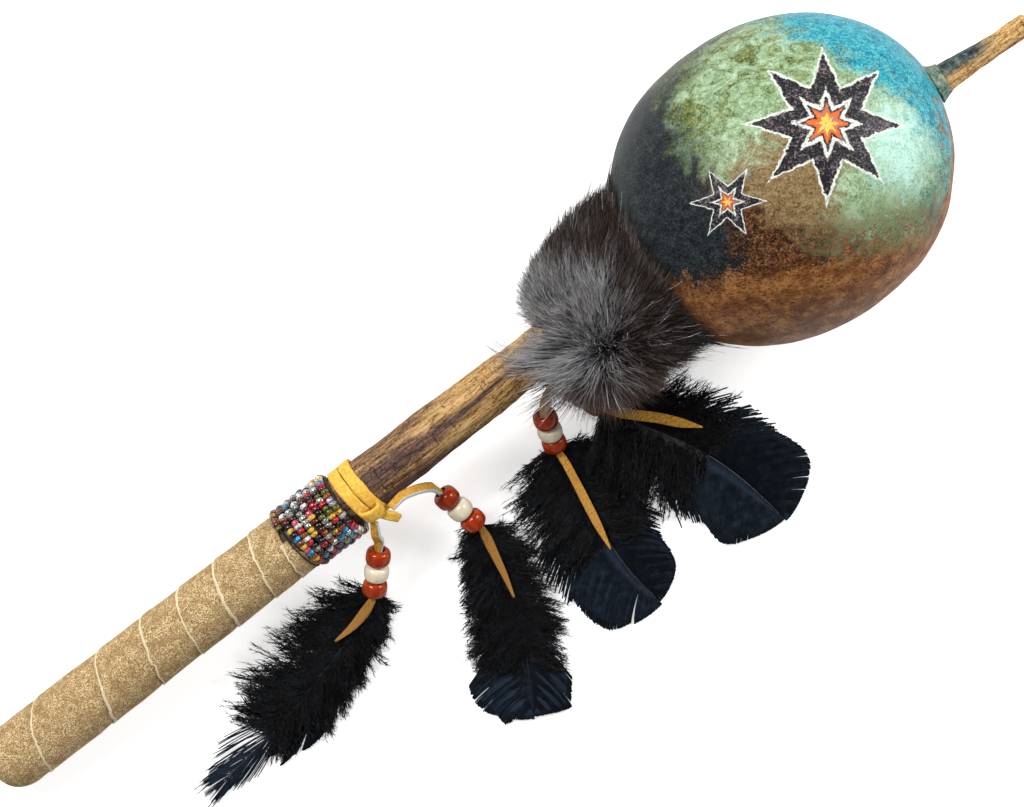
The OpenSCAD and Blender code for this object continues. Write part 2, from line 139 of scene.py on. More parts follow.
GOURD_CENTRE = np.array(joints["pebble_1_roll"]["pos_m"]) / MM
GOURD_AXES = axes_along(joints["pebble_1_roll"]["axis"])
NECK = GOURD_CENTRE - GOURD_HALF * GOURD_AXES[0]
GRIP_AXES = axes_along(turn_about_z(GOURD_AXES[0], BRANCH_BEND))
BUTT = NECK - SHAFT_LENGTH * GRIP_AXES[0]


def on_grip(points):
    return BUTT + np.asarray(points, float) @ GRIP_AXES


def on_gourd(points):
    return GOURD_CENTRE + np.asarray(points, float) @ GOURD_AXES


def round_grip(station, r, angle):
    """Points at stations along the grip's axis, at radius r and an angle from +Y over the top, in degrees."""
    a = np.radians(angle)
    return on_grip(np.stack(np.broadcast_arrays(station, r * np.cos(a), r * np.sin(a)), -1))


def out_of_grip(angle):
    a = np.radians(angle)
    return np.stack([np.zeros_like(a), np.cos(a), np.sin(a)], -1) @ GRIP_AXES


# Routes of the laces a, b, c and d: the ends of each link from its knot, and every other point
# from its knot in plan and from the table in height
DANGLES = "abcd"
LINK_FROM = [[-1.6, -2.7, -3.5], [6.4, -1.6, -0.3], [-5.8, -0.5, -0.9], [-1.9, 1.7, -4.1]]
LINK_TO = [[-4, -7.2, -8.6], [11.2, -0.4, -1.2], [-12.8, -1.1, -3.5], [-10.5, 0.4, -6.5]]
LACE_DOWN = [
    [[-4.6, -9.6, 29]],
    [[16.4, -0.9, 38.6], [20.2, -2.2, 34], [22.4, -3.6, 29], [23, -5, 24.8]],
    [[-16.8, -3.3, 33.2], [-20.1, -5.2, 30], [-21.8, -6.9, 28]],
    [[-11.8, 0.5, 31.4], [-12.4, -0.3, 28.8]],
]
BEADS_FROM = [[-6.4, -12, 25], [23.6, -6.8, 21], [-23.6, -8.7, 25.6], [-12.2, -3.5, 26]]
BEADS_TO = [[-18, -25.7, 13.8], [28.6, -25, 13], [-26.6, -22.5, 10], [-4, -18.9, 14]]
LACE_OUT = [
    [[-24, -29, 12.4], [-32, -31.5, 10.8], [-40, -32.5, 9.8]],
    [[28.6, -30, 11.8], [27.6, -38, 10.6], [26.4, -47, 9.6], [25, -55, 9]],
    [[-26.6, -27.5, 10.4], [-27.2, -36.5, 9.4], [-28.2, -46.5, 8.4], [-29.2, -56.5, 7.6], [-30, -65.5, 7]],
    [[-1, -22.6, 13.4], [5, -28.2, 13.2], [11.2, -33.5, 12.8], [17.4, -39.7, 12.4], [23.4, -45.5, 12]],
]
LACE_IN_BORE = 0.9
QUILL_IN_BORE = 1.1
QUILL_APART = 0.9
KNOTS = [np.array(joints[f"dangle_{d}_swing"]["pos_m"]) / MM - np.array(LINK_FROM[i])
         for i, d in enumerate(DANGLES)]


def from_knot(i, p):
    return np.array([KNOTS[i][0] + p[0], KNOTS[i][1] + p[1], p[2]])


def bead_axes(i):
    """Where a stack of crow beads starts, its way, its up and its side."""
    start = from_knot(i, BEADS_FROM[i])
    way = unit(from_knot(i, BEADS_TO[i]) - start)
    up = unit(UP - way * way[2])
    return start, way, up, np.cross(up, way)


# Meshes
def lumps(points, size, seed, waves=9):
    """Smooth seeded noise, about -1 to 1, with features of about the given size."""
    r = np.random.default_rng(seed)
    ways = unit(r.normal(size=(waves, 3))) * r.uniform(0.6, 1.6, (waves, 1)) * 2 * math.pi / size
    return np.sin(points @ ways.T + r.uniform(0, 2 * math.pi, waves)).sum(-1) / math.sqrt(waves)


def smooth_curve(points, count):
    """A smooth curve through the points, evenly spaced; columns past the third go along with it."""
    p = np.asarray(points, float)
    t = np.concatenate([[0], np.cumsum(np.linalg.norm(np.diff(p[:, :3], axis=0), axis=1))])
    slope = np.gradient(p, t, axis=0)
    at = np.linspace(0, t[-1], count)
    i = np.clip(np.searchsorted(t, at, side="right") - 1, 0, len(t) - 2)
    h = (t[i + 1] - t[i])[:, None]
    u = (at[:, None] - t[i][:, None]) / h
    return ((2 * u**3 - 3 * u**2 + 1) * p[i] + (u**3 - 2 * u**2 + u) * h * slope[i]
            + (3 * u**2 - 2 * u**3) * p[i + 1] + (u**3 - u**2) * h * slope[i + 1])


def bezier(a, b, c, count):
    u = np.linspace(0, 1, count)[None, :, None]
    return (1 - u) ** 2 * a[:, None] + 2 * u * (1 - u) * b[:, None] + u**2 * c[:, None]


def circle(sides):
    a = (np.arange(sides) + 0.5) * 2 * math.pi / sides
    return np.stack([np.cos(a), np.sin(a)], -1)


def tube_faces(tubes, rings, sides):
    """Side faces and ends of tubes whose points run ring by ring."""
    index = np.arange(tubes * rings * sides).reshape(tubes, rings, sides)
    beside = np.roll(index, -1, axis=2)
    walls = np.stack([index[:, :-1], beside[:, :-1], beside[:, 1:], index[:, 1:]], -1).reshape(-1, 4)
    return [walls, np.concatenate([index[:, 0, ::-1], index[:, -1]])]


def sweep(paths, ups, section, widths, heights):
    """Closed solids of one section along many paths: points and faces."""
    paths = np.asarray(paths, float)
    n, k = paths.shape[:2]
    ahead = unit(np.gradient(paths, axis=1))
    side = unit(np.cross(np.broadcast_to(ups, paths.shape), ahead))
    points = paths[:, :, None]
    for axis, half, place in ((side, widths, section[:, 0]), (np.cross(ahead, side), heights, section[:, 1])):
        points = points + axis[:, :, None] * (np.broadcast_to(half, (n, k))[..., None] * place)[..., None]
    return points.reshape(-1, 3), tube_faces(n, k, len(section))


def turned(outline, count):
    """A closed outline of places along X and radii, turned about X: points and faces."""
    x, r = np.asarray(outline, float).T[:, :, None]
    a = np.arange(count) * 2 * math.pi / count
    points = np.stack(np.broadcast_arrays(x, r * np.cos(a), r * np.sin(a)), -1)
    index = np.arange(len(outline) * count).reshape(-1, count)
    after, beside = np.roll(index, -1, axis=0), np.roll(index, -1, axis=1)
    faces = np.stack([index, beside, np.roll(after, -1, axis=1), after], -1).reshape(-1, 4)
    return points.reshape(-1, 3), [faces[:, ::-1]]


def out_of_round(shape, amount, size, seed, where=1):
    """Swells and dents a shape that was turned about X."""
    shape[:, 1:] *= 1 + amount * (lumps(shape, size, seed) * where)[:, None]


def joined(*sweeps):
    """Points and faces of several sweeps as one mesh, with the sweep's number on each face."""
    starts = np.cumsum([0] + [len(points) for points, _ in sweeps])
    numbered = [(number, f + start) for number, ((_, faces), start) in enumerate(zip(sweeps, starts)) for f in faces]
    which = np.concatenate([np.full(len(f), number) for number, f in numbered])
    return np.concatenate([points for points, _ in sweeps]), [f for _, f in numbered], which


def put_in_scene(name, data):
    obj = bpy.data.objects.new(name, data)
    bpy.context.scene.collection.objects.link(obj)
    return obj


def piece(name, points, faces, materials, slot, stands_for=(), body="rattle", which=None, place=None, values=None):
    """A mesh object that rides on a CAD body. faces is a list of arrays of one face size each."""
    mesh = bpy.data.meshes.new(name)
    sizes = np.concatenate([np.full(len(f), f.shape[1]) for f in faces])
    corners = np.concatenate([f.ravel() for f in faces])
    mesh.vertices.add(len(points))
    mesh.vertices.foreach_set("co", (points * MM).astype(np.float32).ravel())
    mesh.loops.add(len(corners))
    mesh.loops.foreach_set("vertex_index", corners.astype(np.int32))
    mesh.polygons.add(len(sizes))
    mesh.polygons.foreach_set("loop_start", np.concatenate([[0], np.cumsum(sizes)[:-1]]).astype(np.int32))
    for material in materials:
        mesh.materials.append(material)
    if which is not None:
        mesh.polygons.foreach_set("material_index", np.asarray(which, np.int32))
    mesh.polygons.foreach_set("use_smooth", np.ones(len(sizes), bool))
    for key, value in (values or {}).items():
        mesh.attributes.new(key, "FLOAT", "POINT").data.foreach_set("value", np.asarray(value, np.float32).ravel())
    mesh.update(calc_edges=True)
    mesh.validate()
    obj = put_in_scene(name, mesh)
    if place is not None:
        origin, rows = place
        obj.matrix_world = Matrix.Translation(origin * MM) @ Matrix(rows.T.tolist()).to_4x4()
    if body:
        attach(obj, body)
    if stands_for:
        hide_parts(*stands_for)
    return obj


# Materials
def colour(red, green, blue):
    """A shader colour from screen values of 0 to 255."""
    screen = np.array([red, green, blue]) / 255
    return tuple(np.where(screen > 0.04045, ((screen + 0.055) / 1.055) ** 2.4, screen / 12.92)) + (1.0,)


class Look:
    """A material whose node tree is built by short calls. Colours are given as screen values."""

    def __init__(self, name, **shader):
        self.material = bpy.data.materials.new(name)
        self.material.use_nodes = True
        self.tree = self.material.node_tree
        self.shader = self.tree.nodes["Principled BSDF"]
        self.place = self.put("ShaderNodeTexCoord").outputs["Object"]
        for socket, value in shader.items():
            self.shader.inputs[socket.replace("_", " ")].default_value = value

    def put(self, kind, inputs=(), **settings):
        node = self.tree.nodes.new(kind)
        for key, value in settings.items():
            setattr(node, key, value)
        for key, value in dict(inputs).items():
            if isinstance(value, bpy.types.NodeSocket):
                self.tree.links.new(value, node.inputs[key])
            else:
                node.inputs[key].default_value = value
        return node

    def feed(self, socket, value):
        self.tree.links.new(value, self.shader.inputs[socket])

    def stretched(self, x, y, z):
        inputs = {"Vector": self.place, "Scale": (x, y, z)}
        return self.put("ShaderNodeMapping", inputs).outputs["Vector"]

    def noise(self, size, detail=4, roughness=0.5, distortion=0.0, at=None):
        """Noise from 0 to 1 with features of about size millimetres."""
        inputs = {"Vector": at or self.place, "Scale": 1 / (size * MM), "Detail": detail,
                  "Roughness": roughness, "Distortion": distortion}
        return self.put("ShaderNodeTexNoise", inputs).outputs["Fac"]

    def attribute(self, name):
        return self.put("ShaderNodeAttribute", attribute_name=name).outputs["Fac"]

    def math(self, operation, a, b=0.0):
        return self.put("ShaderNodeMath", {0: a, 1: b}, operation=operation).outputs[0]

    def plus(self, a, b):
        return self.math("ADD", a, b)

    def minus(self, a, b):
        return self.math("SUBTRACT", a, b)

    def times(self, a, b):
        return self.math("MULTIPLY", a, b)

    def toward(self, *way):
        """How far the place lies along way, in millimetres."""
        inputs = {0: self.place, 1: tuple(np.array(way) / MM)}
        return self.put("ShaderNodeVectorMath", inputs, operation="DOT_PRODUCT").outputs["Value"]

    def away(self, point):
        """How far the place lies from a point, in millimetres."""
        inputs = {0: self.place, 1: tuple(np.array(point) * MM)}
        return self.times(self.put("ShaderNodeVectorMath", inputs, operation="DISTANCE").outputs["Value"], 1 / MM)

    def step(self, value, low, high):
        inputs = {"Value": value, "From Min": low, "From Max": high}
        return self.put("ShaderNodeMapRange", inputs, interpolation_type="SMOOTHSTEP").outputs["Result"]

    def wobbled(self, value, *noises):
        """A value moved by noises, each with its amount."""
        for noise, amount in noises:
            value = self.plus(value, self.times(self.minus(noise, 0.5), amount))
        return value

    def ramp(self, value, stops, *shades):
        node = self.put("ShaderNodeValToRGB", {"Fac": value})
        while len(node.color_ramp.elements) < len(stops):
            node.color_ramp.elements.new(0.5)
        for element, position, shade in zip(node.color_ramp.elements, stops, shades):
            element.position = position
            element.color = colour(*shade)
        return node.outputs["Color"]

    def mix(self, amount, under, over, part=None):
        """One shade over another, by an amount or by a part of it."""
        amount = self.times(amount, part) if part else amount
        over = colour(*over) if isinstance(over, tuple) else over
        return self.put("ShaderNodeMix", {0: amount, 6: under, 7: over}, data_type="RGBA").outputs[2]

    def paint(self, shade):
        self.feed("Base Color", shade)

    def rough(self, value, low, high):
        inputs = {"Value": value, "To Min": low, "To Max": high}
        self.feed("Roughness", self.put("ShaderNodeMapRange", inputs).outputs["Result"])

    def bump(self, height, depth, strength=1.0):
        inputs = {"Height": height, "Distance": depth * MM, "Strength": strength}
        self.feed("Normal", self.put("ShaderNodeBump", inputs).outputs["Normal"])


def grained_look(name, roughness, grain, stops, *shades, depth=0):
    """A plain material whose colour, and relief if it has a depth, follow one noise."""
    look = Look(name, Roughness=roughness)
    grain = look.noise(*grain)
    look.paint(look.ramp(grain, stops, *shades))
    if depth:
        look.bump(grain, depth)
    return look.material


def make_camera():
    data = bpy.data.cameras.new("camera")
    data.sensor_width = SENSOR_WIDTH
    data.lens = CAMERA_FOCAL_PX * SENSOR_WIDTH / IMAGE_WIDTH
    camera = put_in_scene("camera", data)
    camera.location = (CAMERA_OVER[0] * MM, CAMERA_OVER[1] * MM, CAMERA_HEIGHT * MM)
    camera.rotation_euler = (0, 0, CAMERA_TURN)
    bpy.context.scene.camera = camera


# Ribbon section: round-cornered, with its cut edges as faces of their own
RIBBON = np.array([[-1, -0.4], [-0.93, -1], [-0.5, -1], [0, -1], [0.5, -1], [0.93, -1], [1, -0.4],
                   [1, 0.4], [0.93, 1], [0.5, 1], [0, 1], [-0.5, 1], [-0.93, 1], [-1, 0.4]])
RIBBON_EDGE = np.abs(RIBBON[:, 0] + np.roll(RIBBON[:, 0], -1)) / 2 >= 0.93


def ribbon(name, path, ups, half_widths, half_heights, materials, pale_rings=0, **where):
    points, faces = sweep(path[None], np.asarray(ups, float)[None], RIBBON, half_widths, half_heights)
    pale = np.arange(len(path) - 1) < pale_rings
    which = np.concatenate([(pale[:, None] & RIBBON_EDGE).ravel(), [0, 0]])
    return piece(name, points, faces, materials, "lace_deerskin", which=which, **where)


# Laces: each is one cord from its knot, down through its beads and out over its feathers
LACE_RINGS = 91
ROUTE_STEP = 3
PALE_RINGS = 42
# How much painted shade darkens each lace past its beads, where the feathers' down covers it, how its upper part
# leans, and half its width past its beads
LACE_SHADE = [0.85, 0.9, 0.5, 0.0]
LACE_LEAN = [[-0.5, 0.32, 0], [0.6, 0.95, 0], [-0.5, 0.32, 0], [0, 0, 0]]
OUT_HALF = [[1.9, 1.4, 0.4], [1.8, 1.6, 1.1, 0.4], [1.5, 1.6, 1.7, 1.4, 0.3], [1.9, 2.0, 2.0, 1.8, 0.3]]


def deerskin_look():
    look = Look("deerskin", Roughness=0.85, Specular_IOR_Level=0.2)
    fibre = look.noise(0.6, 6, 0.7)
    gold = look.ramp(fibre, (0.36, 0.47, 0.55, 0.66), (150, 96, 26), (200, 142, 50), (226, 170, 72), (246, 206, 116))
    gold = look.mix(look.step(look.noise(9, 3), 0.45, 0.7), gold, (200, 146, 60), 0.5)
    # Past its beads a lace darkens towards this painted shade colour, as much as its attribute says
    look.paint(look.mix(look.attribute("wear_and_shade"), gold, (148, 104, 52)))
    look.bump(fibre, 0.12)
    return look.material


def smooth_deerskin_look():
    look = Look("deerskin_grain", Roughness=0.75, Specular_IOR_Level=0.2)
    grain = look.noise(1.1, 6, 0.6)
    gold = look.ramp(grain, (0.36, 0.5, 0.64), (222, 164, 54), (240, 190, 78), (250, 212, 104))
    look.paint(look.mix(look.step(look.noise(7, 2), 0.45, 0.8), gold, (232, 180, 70)))
    look.bump(grain, 0.06)
    return look.material


def cut_edge_look(name, *shades):
    return grained_look(name, 0.85, (0.5, 5, 0.7), (0.36, 0.5, 0.64), *shades, depth=0.1)


def lace_route(i):
    """A lace's points, with half its width and thickness at each."""
    start, way, up, _ = bead_axes(i)
    link_from, link_to = KNOTS[i] + LINK_FROM[i], KNOTS[i] + LINK_TO[i]
    down = [from_knot(i, p) for p in LACE_DOWN[i]]
    through = [start + up * LACE_IN_BORE + way * STACK_LENGTH * s for s in (0, 0.5, 1)]
    out = [from_knot(i, p) for p in LACE_OUT[i]]
    points = [link_from, (link_from + link_to) / 2, link_to] + down + through + out
    half_w = [1.5, 1.7, 1.8] + [2.0] * len(down) + [1.3, 1.0, 1.2] + OUT_HALF[i]
    half_h = [0.7, 0.75] + [0.8] * (len(down) + 4) + list(np.linspace(0.62, 0.25, len(out)))
    return smooth_curve(np.column_stack([points, half_w, half_h]), LACE_RINGS)


def make_laces(skin, edge):
    """The four laces, and the line of each."""
    made = []
    for i, d in enumerate(DANGLES):
        route = lace_route(i)
        path = route[:, :3]
        steep = np.abs(unit(np.gradient(path, axis=0))[:, 2:])
        lean = np.clip(np.linspace(2.2, -1.2, LACE_RINGS), 0, 1)[:, None] * LACE_LEAN[i]
        ups = unit(steep**2 * np.array([0, -1.0, 0]) + (1 - steep**2) * UP + lean)
        past_beads = np.clip(np.linspace(-1.6, 2, LACE_RINGS), 0, 1)
        lace = ribbon(f"lace_{d}", path, ups, route[:, 3], route[:, 4], [skin, edge], PALE_RINGS, body=None,
                      stands_for=[f"lace_link_{d}", f"lace_tail_{d}"],
                      values={"wear_and_shade": np.repeat(LACE_SHADE[i] * past_beads, len(RIBBON))})
        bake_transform(lace)
        made.append((lace, path[::ROUTE_STEP]))
    return made


# Wound laces and knots
def make_turns(name, lace, materials):
    turns = np.linspace(-0.02, LACE_TURNS + 0.02, 150)
    angle = LACE_START_ANGLE + 360 * turns
    station = lace["start"] + LACE_PITCH * turns
    path = round_grip(station, lace["r"] + 0.12 * lumps(round_grip(station, lace["r"], angle), 14, 3), angle)
    half_w = LACE_WIDTH / 2 + 0.1 + 0.1 * lumps(path, 9, 4)
    ribbon(f"{name}_lace_turns", path, out_of_grip(angle), half_w, LACE_THICK / 2, materials,
           stands_for=[f"{name}_lace_wrap"])


def make_knot(name, lace, materials):
    """A fold of lace that arches along the stick over the turns."""
    u = np.linspace(-1, 1, 40)
    arch = (1 - np.abs(u) ** 3.2) ** 0.6
    station = lace["station"] + u * (KNOT_LENGTH / 2 - 0.6)
    r = lace["r"] + LACE_THICK / 2 + 0.2 + (KNOT_HEIGHT - 0.9) * arch
    path = round_grip(station, r, np.full(len(u), lace["angle"]) + 3 * u)
    out = out_of_grip(np.full(len(u), float(lace["angle"])))
    ups = unit(out + np.outer(u**5 * 2.5, GRIP_AXES[0]))
    half_w = 2.6 + 0.25 * np.abs(u) + 0.1 * lumps(path, 5, 8)
    ribbon(f"{name}_lace_fold", path, ups, half_w, 0.62, materials, stands_for=[f"{name}_lace_knot"])


def make_flap(materials):
    """The short loose end that shows under the lower knot."""
    start = KNOTS[0] + np.array([2.2, -1.6, -2.2])
    points = [start, start + [2.6, -2.6, -1.2], start + [4.6, -5, -3.2]]
    route = smooth_curve(np.column_stack([points, [1.7, 2.0, 1.6], [0.55, 0.6, 0.5]]), FLAP_RINGS)
    ups = np.tile(unit(np.array([-0.2, -0.4, 1.0])), (FLAP_RINGS, 1))
    ribbon("lower_lace_flap", route[:, :3], ups, route[:, 3], route[:, 4], materials)


# Crow beads
CROW_SHOULDER = 2.3


def crow_look(name, speck, *shades):
    look = Look(name, Specular_IOR_Level=0.4)
    cloud = look.noise(3.5, 4, 0.55, 0.8)
    shade = look.ramp(cloud, (0.3, 0.5, 0.72), *shades)
    look.paint(look.mix(look.step(look.noise(0.45, 3), 0.66, 0.74), shade, speck))
    look.rough(cloud, 0.08, 0.24)
    look.bump(look.noise(1.6, 3), 0.05)
    return look.material


def crow_outline():
    """A barrel with round shoulders, a dished mouth and a straight bore."""
    r, bore = CROW_D / 2, CROW_BORE / 2
    a = np.radians(np.arange(0, 91, 10))
    first = np.stack([CROW_SHOULDER * (1 - np.cos(a)), r - CROW_SHOULDER * (1 - np.sin(a))], -1)
    straight = CROW_LENGTH - 2 * CROW_SHOULDER
    belly = [[x, r + 0.08 * math.sin(math.pi * (x - CROW_SHOULDER) / straight)]
             for x in np.linspace(CROW_SHOULDER, CROW_LENGTH - CROW_SHOULDER, 5)[1:-1]]
    last = first[::-1] * [-1, 1] + [CROW_LENGTH, 0]
    mouth = [[0.15, bore + 0.3], [0.6, bore]]
    return np.concatenate([first, belly, last, [[CROW_LENGTH - x, y] for x, y in mouth], mouth[::-1]])


def make_beads(red, ivory):
    made = {}
    for i, d in enumerate(DANGLES):
        start, way, _, side = bead_axes(i)
        made[d] = []
        for k, level in enumerate(("top", "middle", "bottom")):
            shape, faces = turned(crow_outline(), 56)
            out_of_round(shape, 0.012, 7, 20 + 3 * i + k)
            origin = start + way * (CROW_GAP + k * (CROW_LENGTH + CROW_GAP))
            finish, slot = (ivory, "crow_ivory") if level == "middle" else (red, "crow_red")
            made[d].append(piece(f"crow_{d}_{level}", shape, faces, [finish], slot, [f"bead_{d}_{level}"],
                                 f"dangle_{d}", place=(origin, np.array([way, side, np.cross(way, side)]))))
    return made


# Feathers. The points are from the knot in plan and from the table in height, with half the vane's width. Then come
# how far the vane's barbs start under the down, where the closed vane starts, how far its barbs lead and how far they
# run past the tip, how much they part, how wide and slanted the end is to the left and right, its splits, how far the
# down spreads to the left and right, and how far to the side the quill lies in its beads.
Feather = namedtuple("Feather", "points under smooth lead blunt part wide slant splits down quill")
FEATHERS = {
    "feather_a_front": Feather(
        [[-24, -29.6, 10.2, 2.2], [-30, -32.5, 8.6, 7], [-45, -38, 6.4, 12],
         [-63, -44, 4.4, 13], [-85, -50, 2.6, 9], [-109, -55, 1.6, 3]],
        0.08, 0.64, 0.3, 0.03, 0.9, (1.7, 1.1), (0, 0), [], (24, 11), QUILL_APART),
    "feather_a_back": Feather(
        [[-24, -32, 7.8, 2], [-32.5, -37, 6, 6], [-45.5, -44, 4, 10],
         [-60.5, -51.5, 2.6, 11], [-71.5, -56.5, 1.8, 8], [-78.5, -59, 1.4, 2]],
        0.08, 0.66, 0.16, 0.3, 0.1, (1, 0.6), (0.04, 0.04), [(1, 0.82, 0.03)], (15, 9), -QUILL_APART),
    "feather_b_front": Feather(
        [[28.4, -31, 10.3, 2.2], [26.6, -40, 7.8, 8], [24, -52, 5.6, 13],
         [20.6, -66, 4.2, 14.5], [14.6, -81, 3.2, 16], [7.6, -95.5, 2.2, 14]],
        0.08, 0.67, 0.27, 0.02, 0.1, (1.45, 1), (0.1, 0.02),
        [(-1, 0.74, 0.012), (-1, 0.8, 0.012), (-1, 0.88, 0.008), (1, 0.72, 0.02)], (14, 17), QUILL_APART),
    "feather_b_back": Feather(
        [[26.2, -32, 7, 2], [22.6, -43, 5.4, 7], [16.6, -58, 3.2, 10],
         [8.6, -74, 1.7, 11], [1.6, -86, 1, 10], [-2, -91.5, 0.9, 4]],
        0.08, 0.7, 0.2, 0.2, 0.3, (0.6, 0.6), (0, 0), [], (13, 12), -QUILL_APART),
    "feather_c": Feather(
        [[-26.4, -27.5, 8.2, 2.5], [-27, -34.5, 6.8, 9], [-27.8, -43.5, 5.6, 14], [-28.6, -55.5, 4.6, 17],
         [-29, -69.5, 3.4, 17.5], [-27.4, -82.5, 2.2, 17], [-25.2, -92, 1.5, 13]],
        0.24, 0.52, 0.24, 0.03, 0.06, (1.32, 0.95), (0.09, 0.08), [(-1, 0.87, 0.018)], (30, 25), 0),
    "feather_d": Feather(
        [[-1.4, -23.8, 11.2, 2.5], [3.2, -30.6, 10.4, 8], [11.4, -42.2, 9, 13], [19.4, -55.2, 6.6, 17],
         [25.4, -69.5, 4.2, 19.5], [29.1, -82.5, 2.4, 20], [31.1, -91.2, 1.6, 14]],
        0.24, 0.48, 0.26, 0.03, 0.05, (1.1, 1.14), (0.11, 0.1), [(1, 0.7, 0.006), (1, 0.8, 0.006)], (31, 25), 0),
}
FEATHER_SEED = 300
VANE_STEPS = 160
SHAFT_RINGS = 60
# Half the width of a barb of the vane along its length, and half its thickness
BARB_HALF = np.array([0.3, 0.36, 0.4, 0.42, 0.44, 0.44, 0.36])
BARB_THIN = 0.09
BARB_SIDES = 4
DOWN_PIECES = 2
DOWN_TUFTS = 64
TUFT_BARBS = 16
BARBULES = 16
DOWN_KNOTS = 7
DOWN_HALF = np.linspace(0.3, 0.08, DOWN_KNOTS)
BARBULE_HALF = np.array([0.17, 0.03])


def feather_look():
    look = Look("feather_vane", Specular_IOR_Level=0.3, Specular_Tint=colour(150, 190, 240))
    streak = look.noise(3, 4, 0.6)
    stops = (0.38, 0.52, 0.64)
    black = look.ramp(streak, stops, (9, 10, 11), (14, 16, 18), (22, 24, 26))
    blue = look.ramp(streak, stops, (15, 18, 22), (23, 28, 34), (33, 40, 48))
    look.paint(look.mix(look.attribute("sheen"), black, blue))
    look.rough(streak, 0.36, 0.6)
    return look.material


def down_look():
    look = Look("feather_down", Roughness=0.5, Specular_IOR_Level=0.4)
    patch = look.wobbled(look.noise(1.1, 4, 0.7), (look.noise(6, 3), 0.6))
    # Its palest bluish patches are painted sheen on the strands
    look.paint(look.ramp(patch, (0.38, 0.55, 0.7), (4, 5, 6), (11, 13, 17), (30, 35, 46)))
    return look.material


class Vane:
    """A feather's middle line, with its sides and half widths, at shares of its length from 0 to past 1."""

    def __init__(self, points):
        line = smooth_curve(points, VANE_STEPS)
        self.length = np.linalg.norm(np.diff(line[:, :3], axis=0), axis=1).sum()
        ahead = unit(np.gradient(line[:, :3], axis=0))
        self.onward = ahead[-1]
        self.columns = np.column_stack([line[:, :3], unit(np.cross(UP, ahead)), line[:, 3]]).T

    def at(self, share):
        """Place, side and half width. Past the tip the line runs on straight."""
        step = np.clip(share, 0, 1) * (VANE_STEPS - 1)
        found = np.stack([np.interp(step, np.arange(VANE_STEPS), column) for column in self.columns], -1)
        past = np.maximum(share - 1, 0) * self.length
        return found[:, :3] + self.onward * past[:, None], unit(found[:, 3:6]), found[:, 6]


def smooth_barbs(vane, kind, rng):
    """Flat barbs that make the closed vane towards the tip, and how much sheen each has."""
    count = int(vane.length * (1 + kind.under - kind.smooth) / (0.22 + 0.5 * kind.part))
    share = np.tile(np.linspace(kind.smooth - kind.under, 0.998, count), 2)
    hand = np.repeat([-1.0, 1.0], count)
    split = sum(gap * ((hand == side) & (share > at)) for side, at, gap in kind.splits)
    free = np.clip((kind.smooth - share) / kind.under, 0, 1) * (kind.under > 0.1)
    loose = rng.normal(size=2 * count) * (0.04 * kind.part**1.5 + 0.05 * free)
    reach = share + kind.lead
    past = np.maximum(reach - 1, 0)
    spread = 1 - rise(past, 0, kind.lead) ** 1.7
    back = np.where(hand < 0, *kind.slant) * (1 - np.sqrt(1 - spread**2)) * rise(reach, 0.8, 0.2)
    start, _, _ = vane.at(share)
    end, side, half = vane.at(np.minimum(reach, 1) + kind.blunt * past + split + loose - back)
    ragged = 1 + 0.15 * free + rng.normal(size=2 * count) * (0.012 + 0.16 * free)
    out = hand * half * np.where(hand < 0, *kind.wide) * spread * ragged
    end = end + side * (out + 0.9 * kind.part * rng.normal(size=2 * count))[:, None]
    end[:, 2] = np.maximum(end[:, 2] - 0.035 * np.abs(out), TABLE_GAP + 0.1)
    middle = start * 0.5 + end * 0.5 + side * (0.16 * out)[:, None]
    middle[:, 2] += 0.5 + 0.1 * np.sin(share * 90)
    paths = bezier(start, middle, end, len(BARB_HALF))
    sheen = np.clip(0.35 - 0.35 * hand + rng.normal(0, 0.22, 2 * count), 0, 1)
    barbs = sweep(paths, UP, circle(BARB_SIDES), BARB_HALF * (1 - 0.4 * kind.part), BARB_THIN)
    return barbs, np.repeat(sheen, len(BARB_HALF) * BARB_SIDES)


def down_paths(vane, kind, rng):
    """Tufts of loose barbs over the lower part of the feather."""
    share = (np.arange(DOWN_TUFTS) + rng.uniform(-1, 2, DOWN_TUFTS)) / DOWN_TUFTS * (kind.smooth + 0.04)
    share = np.clip(share, 0, 1)
    hand = np.tile([-1.0, 1.0], DOWN_TUFTS // 2)
    spread = np.where(hand < 0, *kind.down) * rng.uniform(0.78, 1.05, DOWN_TUFTS)
    spread *= np.clip(0.75 + 3 * share, 0, 1) * (1 - 0.3 * rise(share, kind.smooth - 0.15, 0.2))
    place, side, _ = vane.at(np.minimum(share + rng.uniform(0.02, 0.22, DOWN_TUFTS), kind.smooth + 0.12))
    tip = place + side * (hand * spread)[:, None] + rng.normal(size=(DOWN_TUFTS, 3)) * [1.5, 1.5, 0.4]
    tip[:, 2] += rng.uniform(-1, 1, DOWN_TUFTS) * 3 - 0.5
    tuft = np.repeat(np.arange(DOWN_TUFTS), TUFT_BARBS)
    count = len(tuft)
    start, _, _ = vane.at(np.clip(share[tuft] + rng.normal(0, 0.014, count), 0, 1))
    reach = rng.uniform(0.35, 1, count)[:, None]
    end = start + (tip[tuft] - start) * reach + rng.normal(size=(count, 3)) * [2.1, 2.1, 0.8] * (1.35 - reach)
    middle = 0.55 * start + 0.45 * end + rng.normal(size=(count, 3)) * [1.2, 1.2, 0.6]
    middle[:, 2] += 0.6
    paths = bezier(start, middle, end, DOWN_KNOTS)
    u = np.linspace(0, 1, DOWN_KNOTS)
    wave = np.sin(u * rng.uniform(4, 9, (count, 1)) + rng.uniform(0, 6, (count, 1))) * u * 0.5
    paths += wave[..., None] * unit(rng.normal(size=(count, 3)))[:, None]
    paths[..., 2] = np.maximum(paths[..., 2], TABLE_GAP)
    return paths


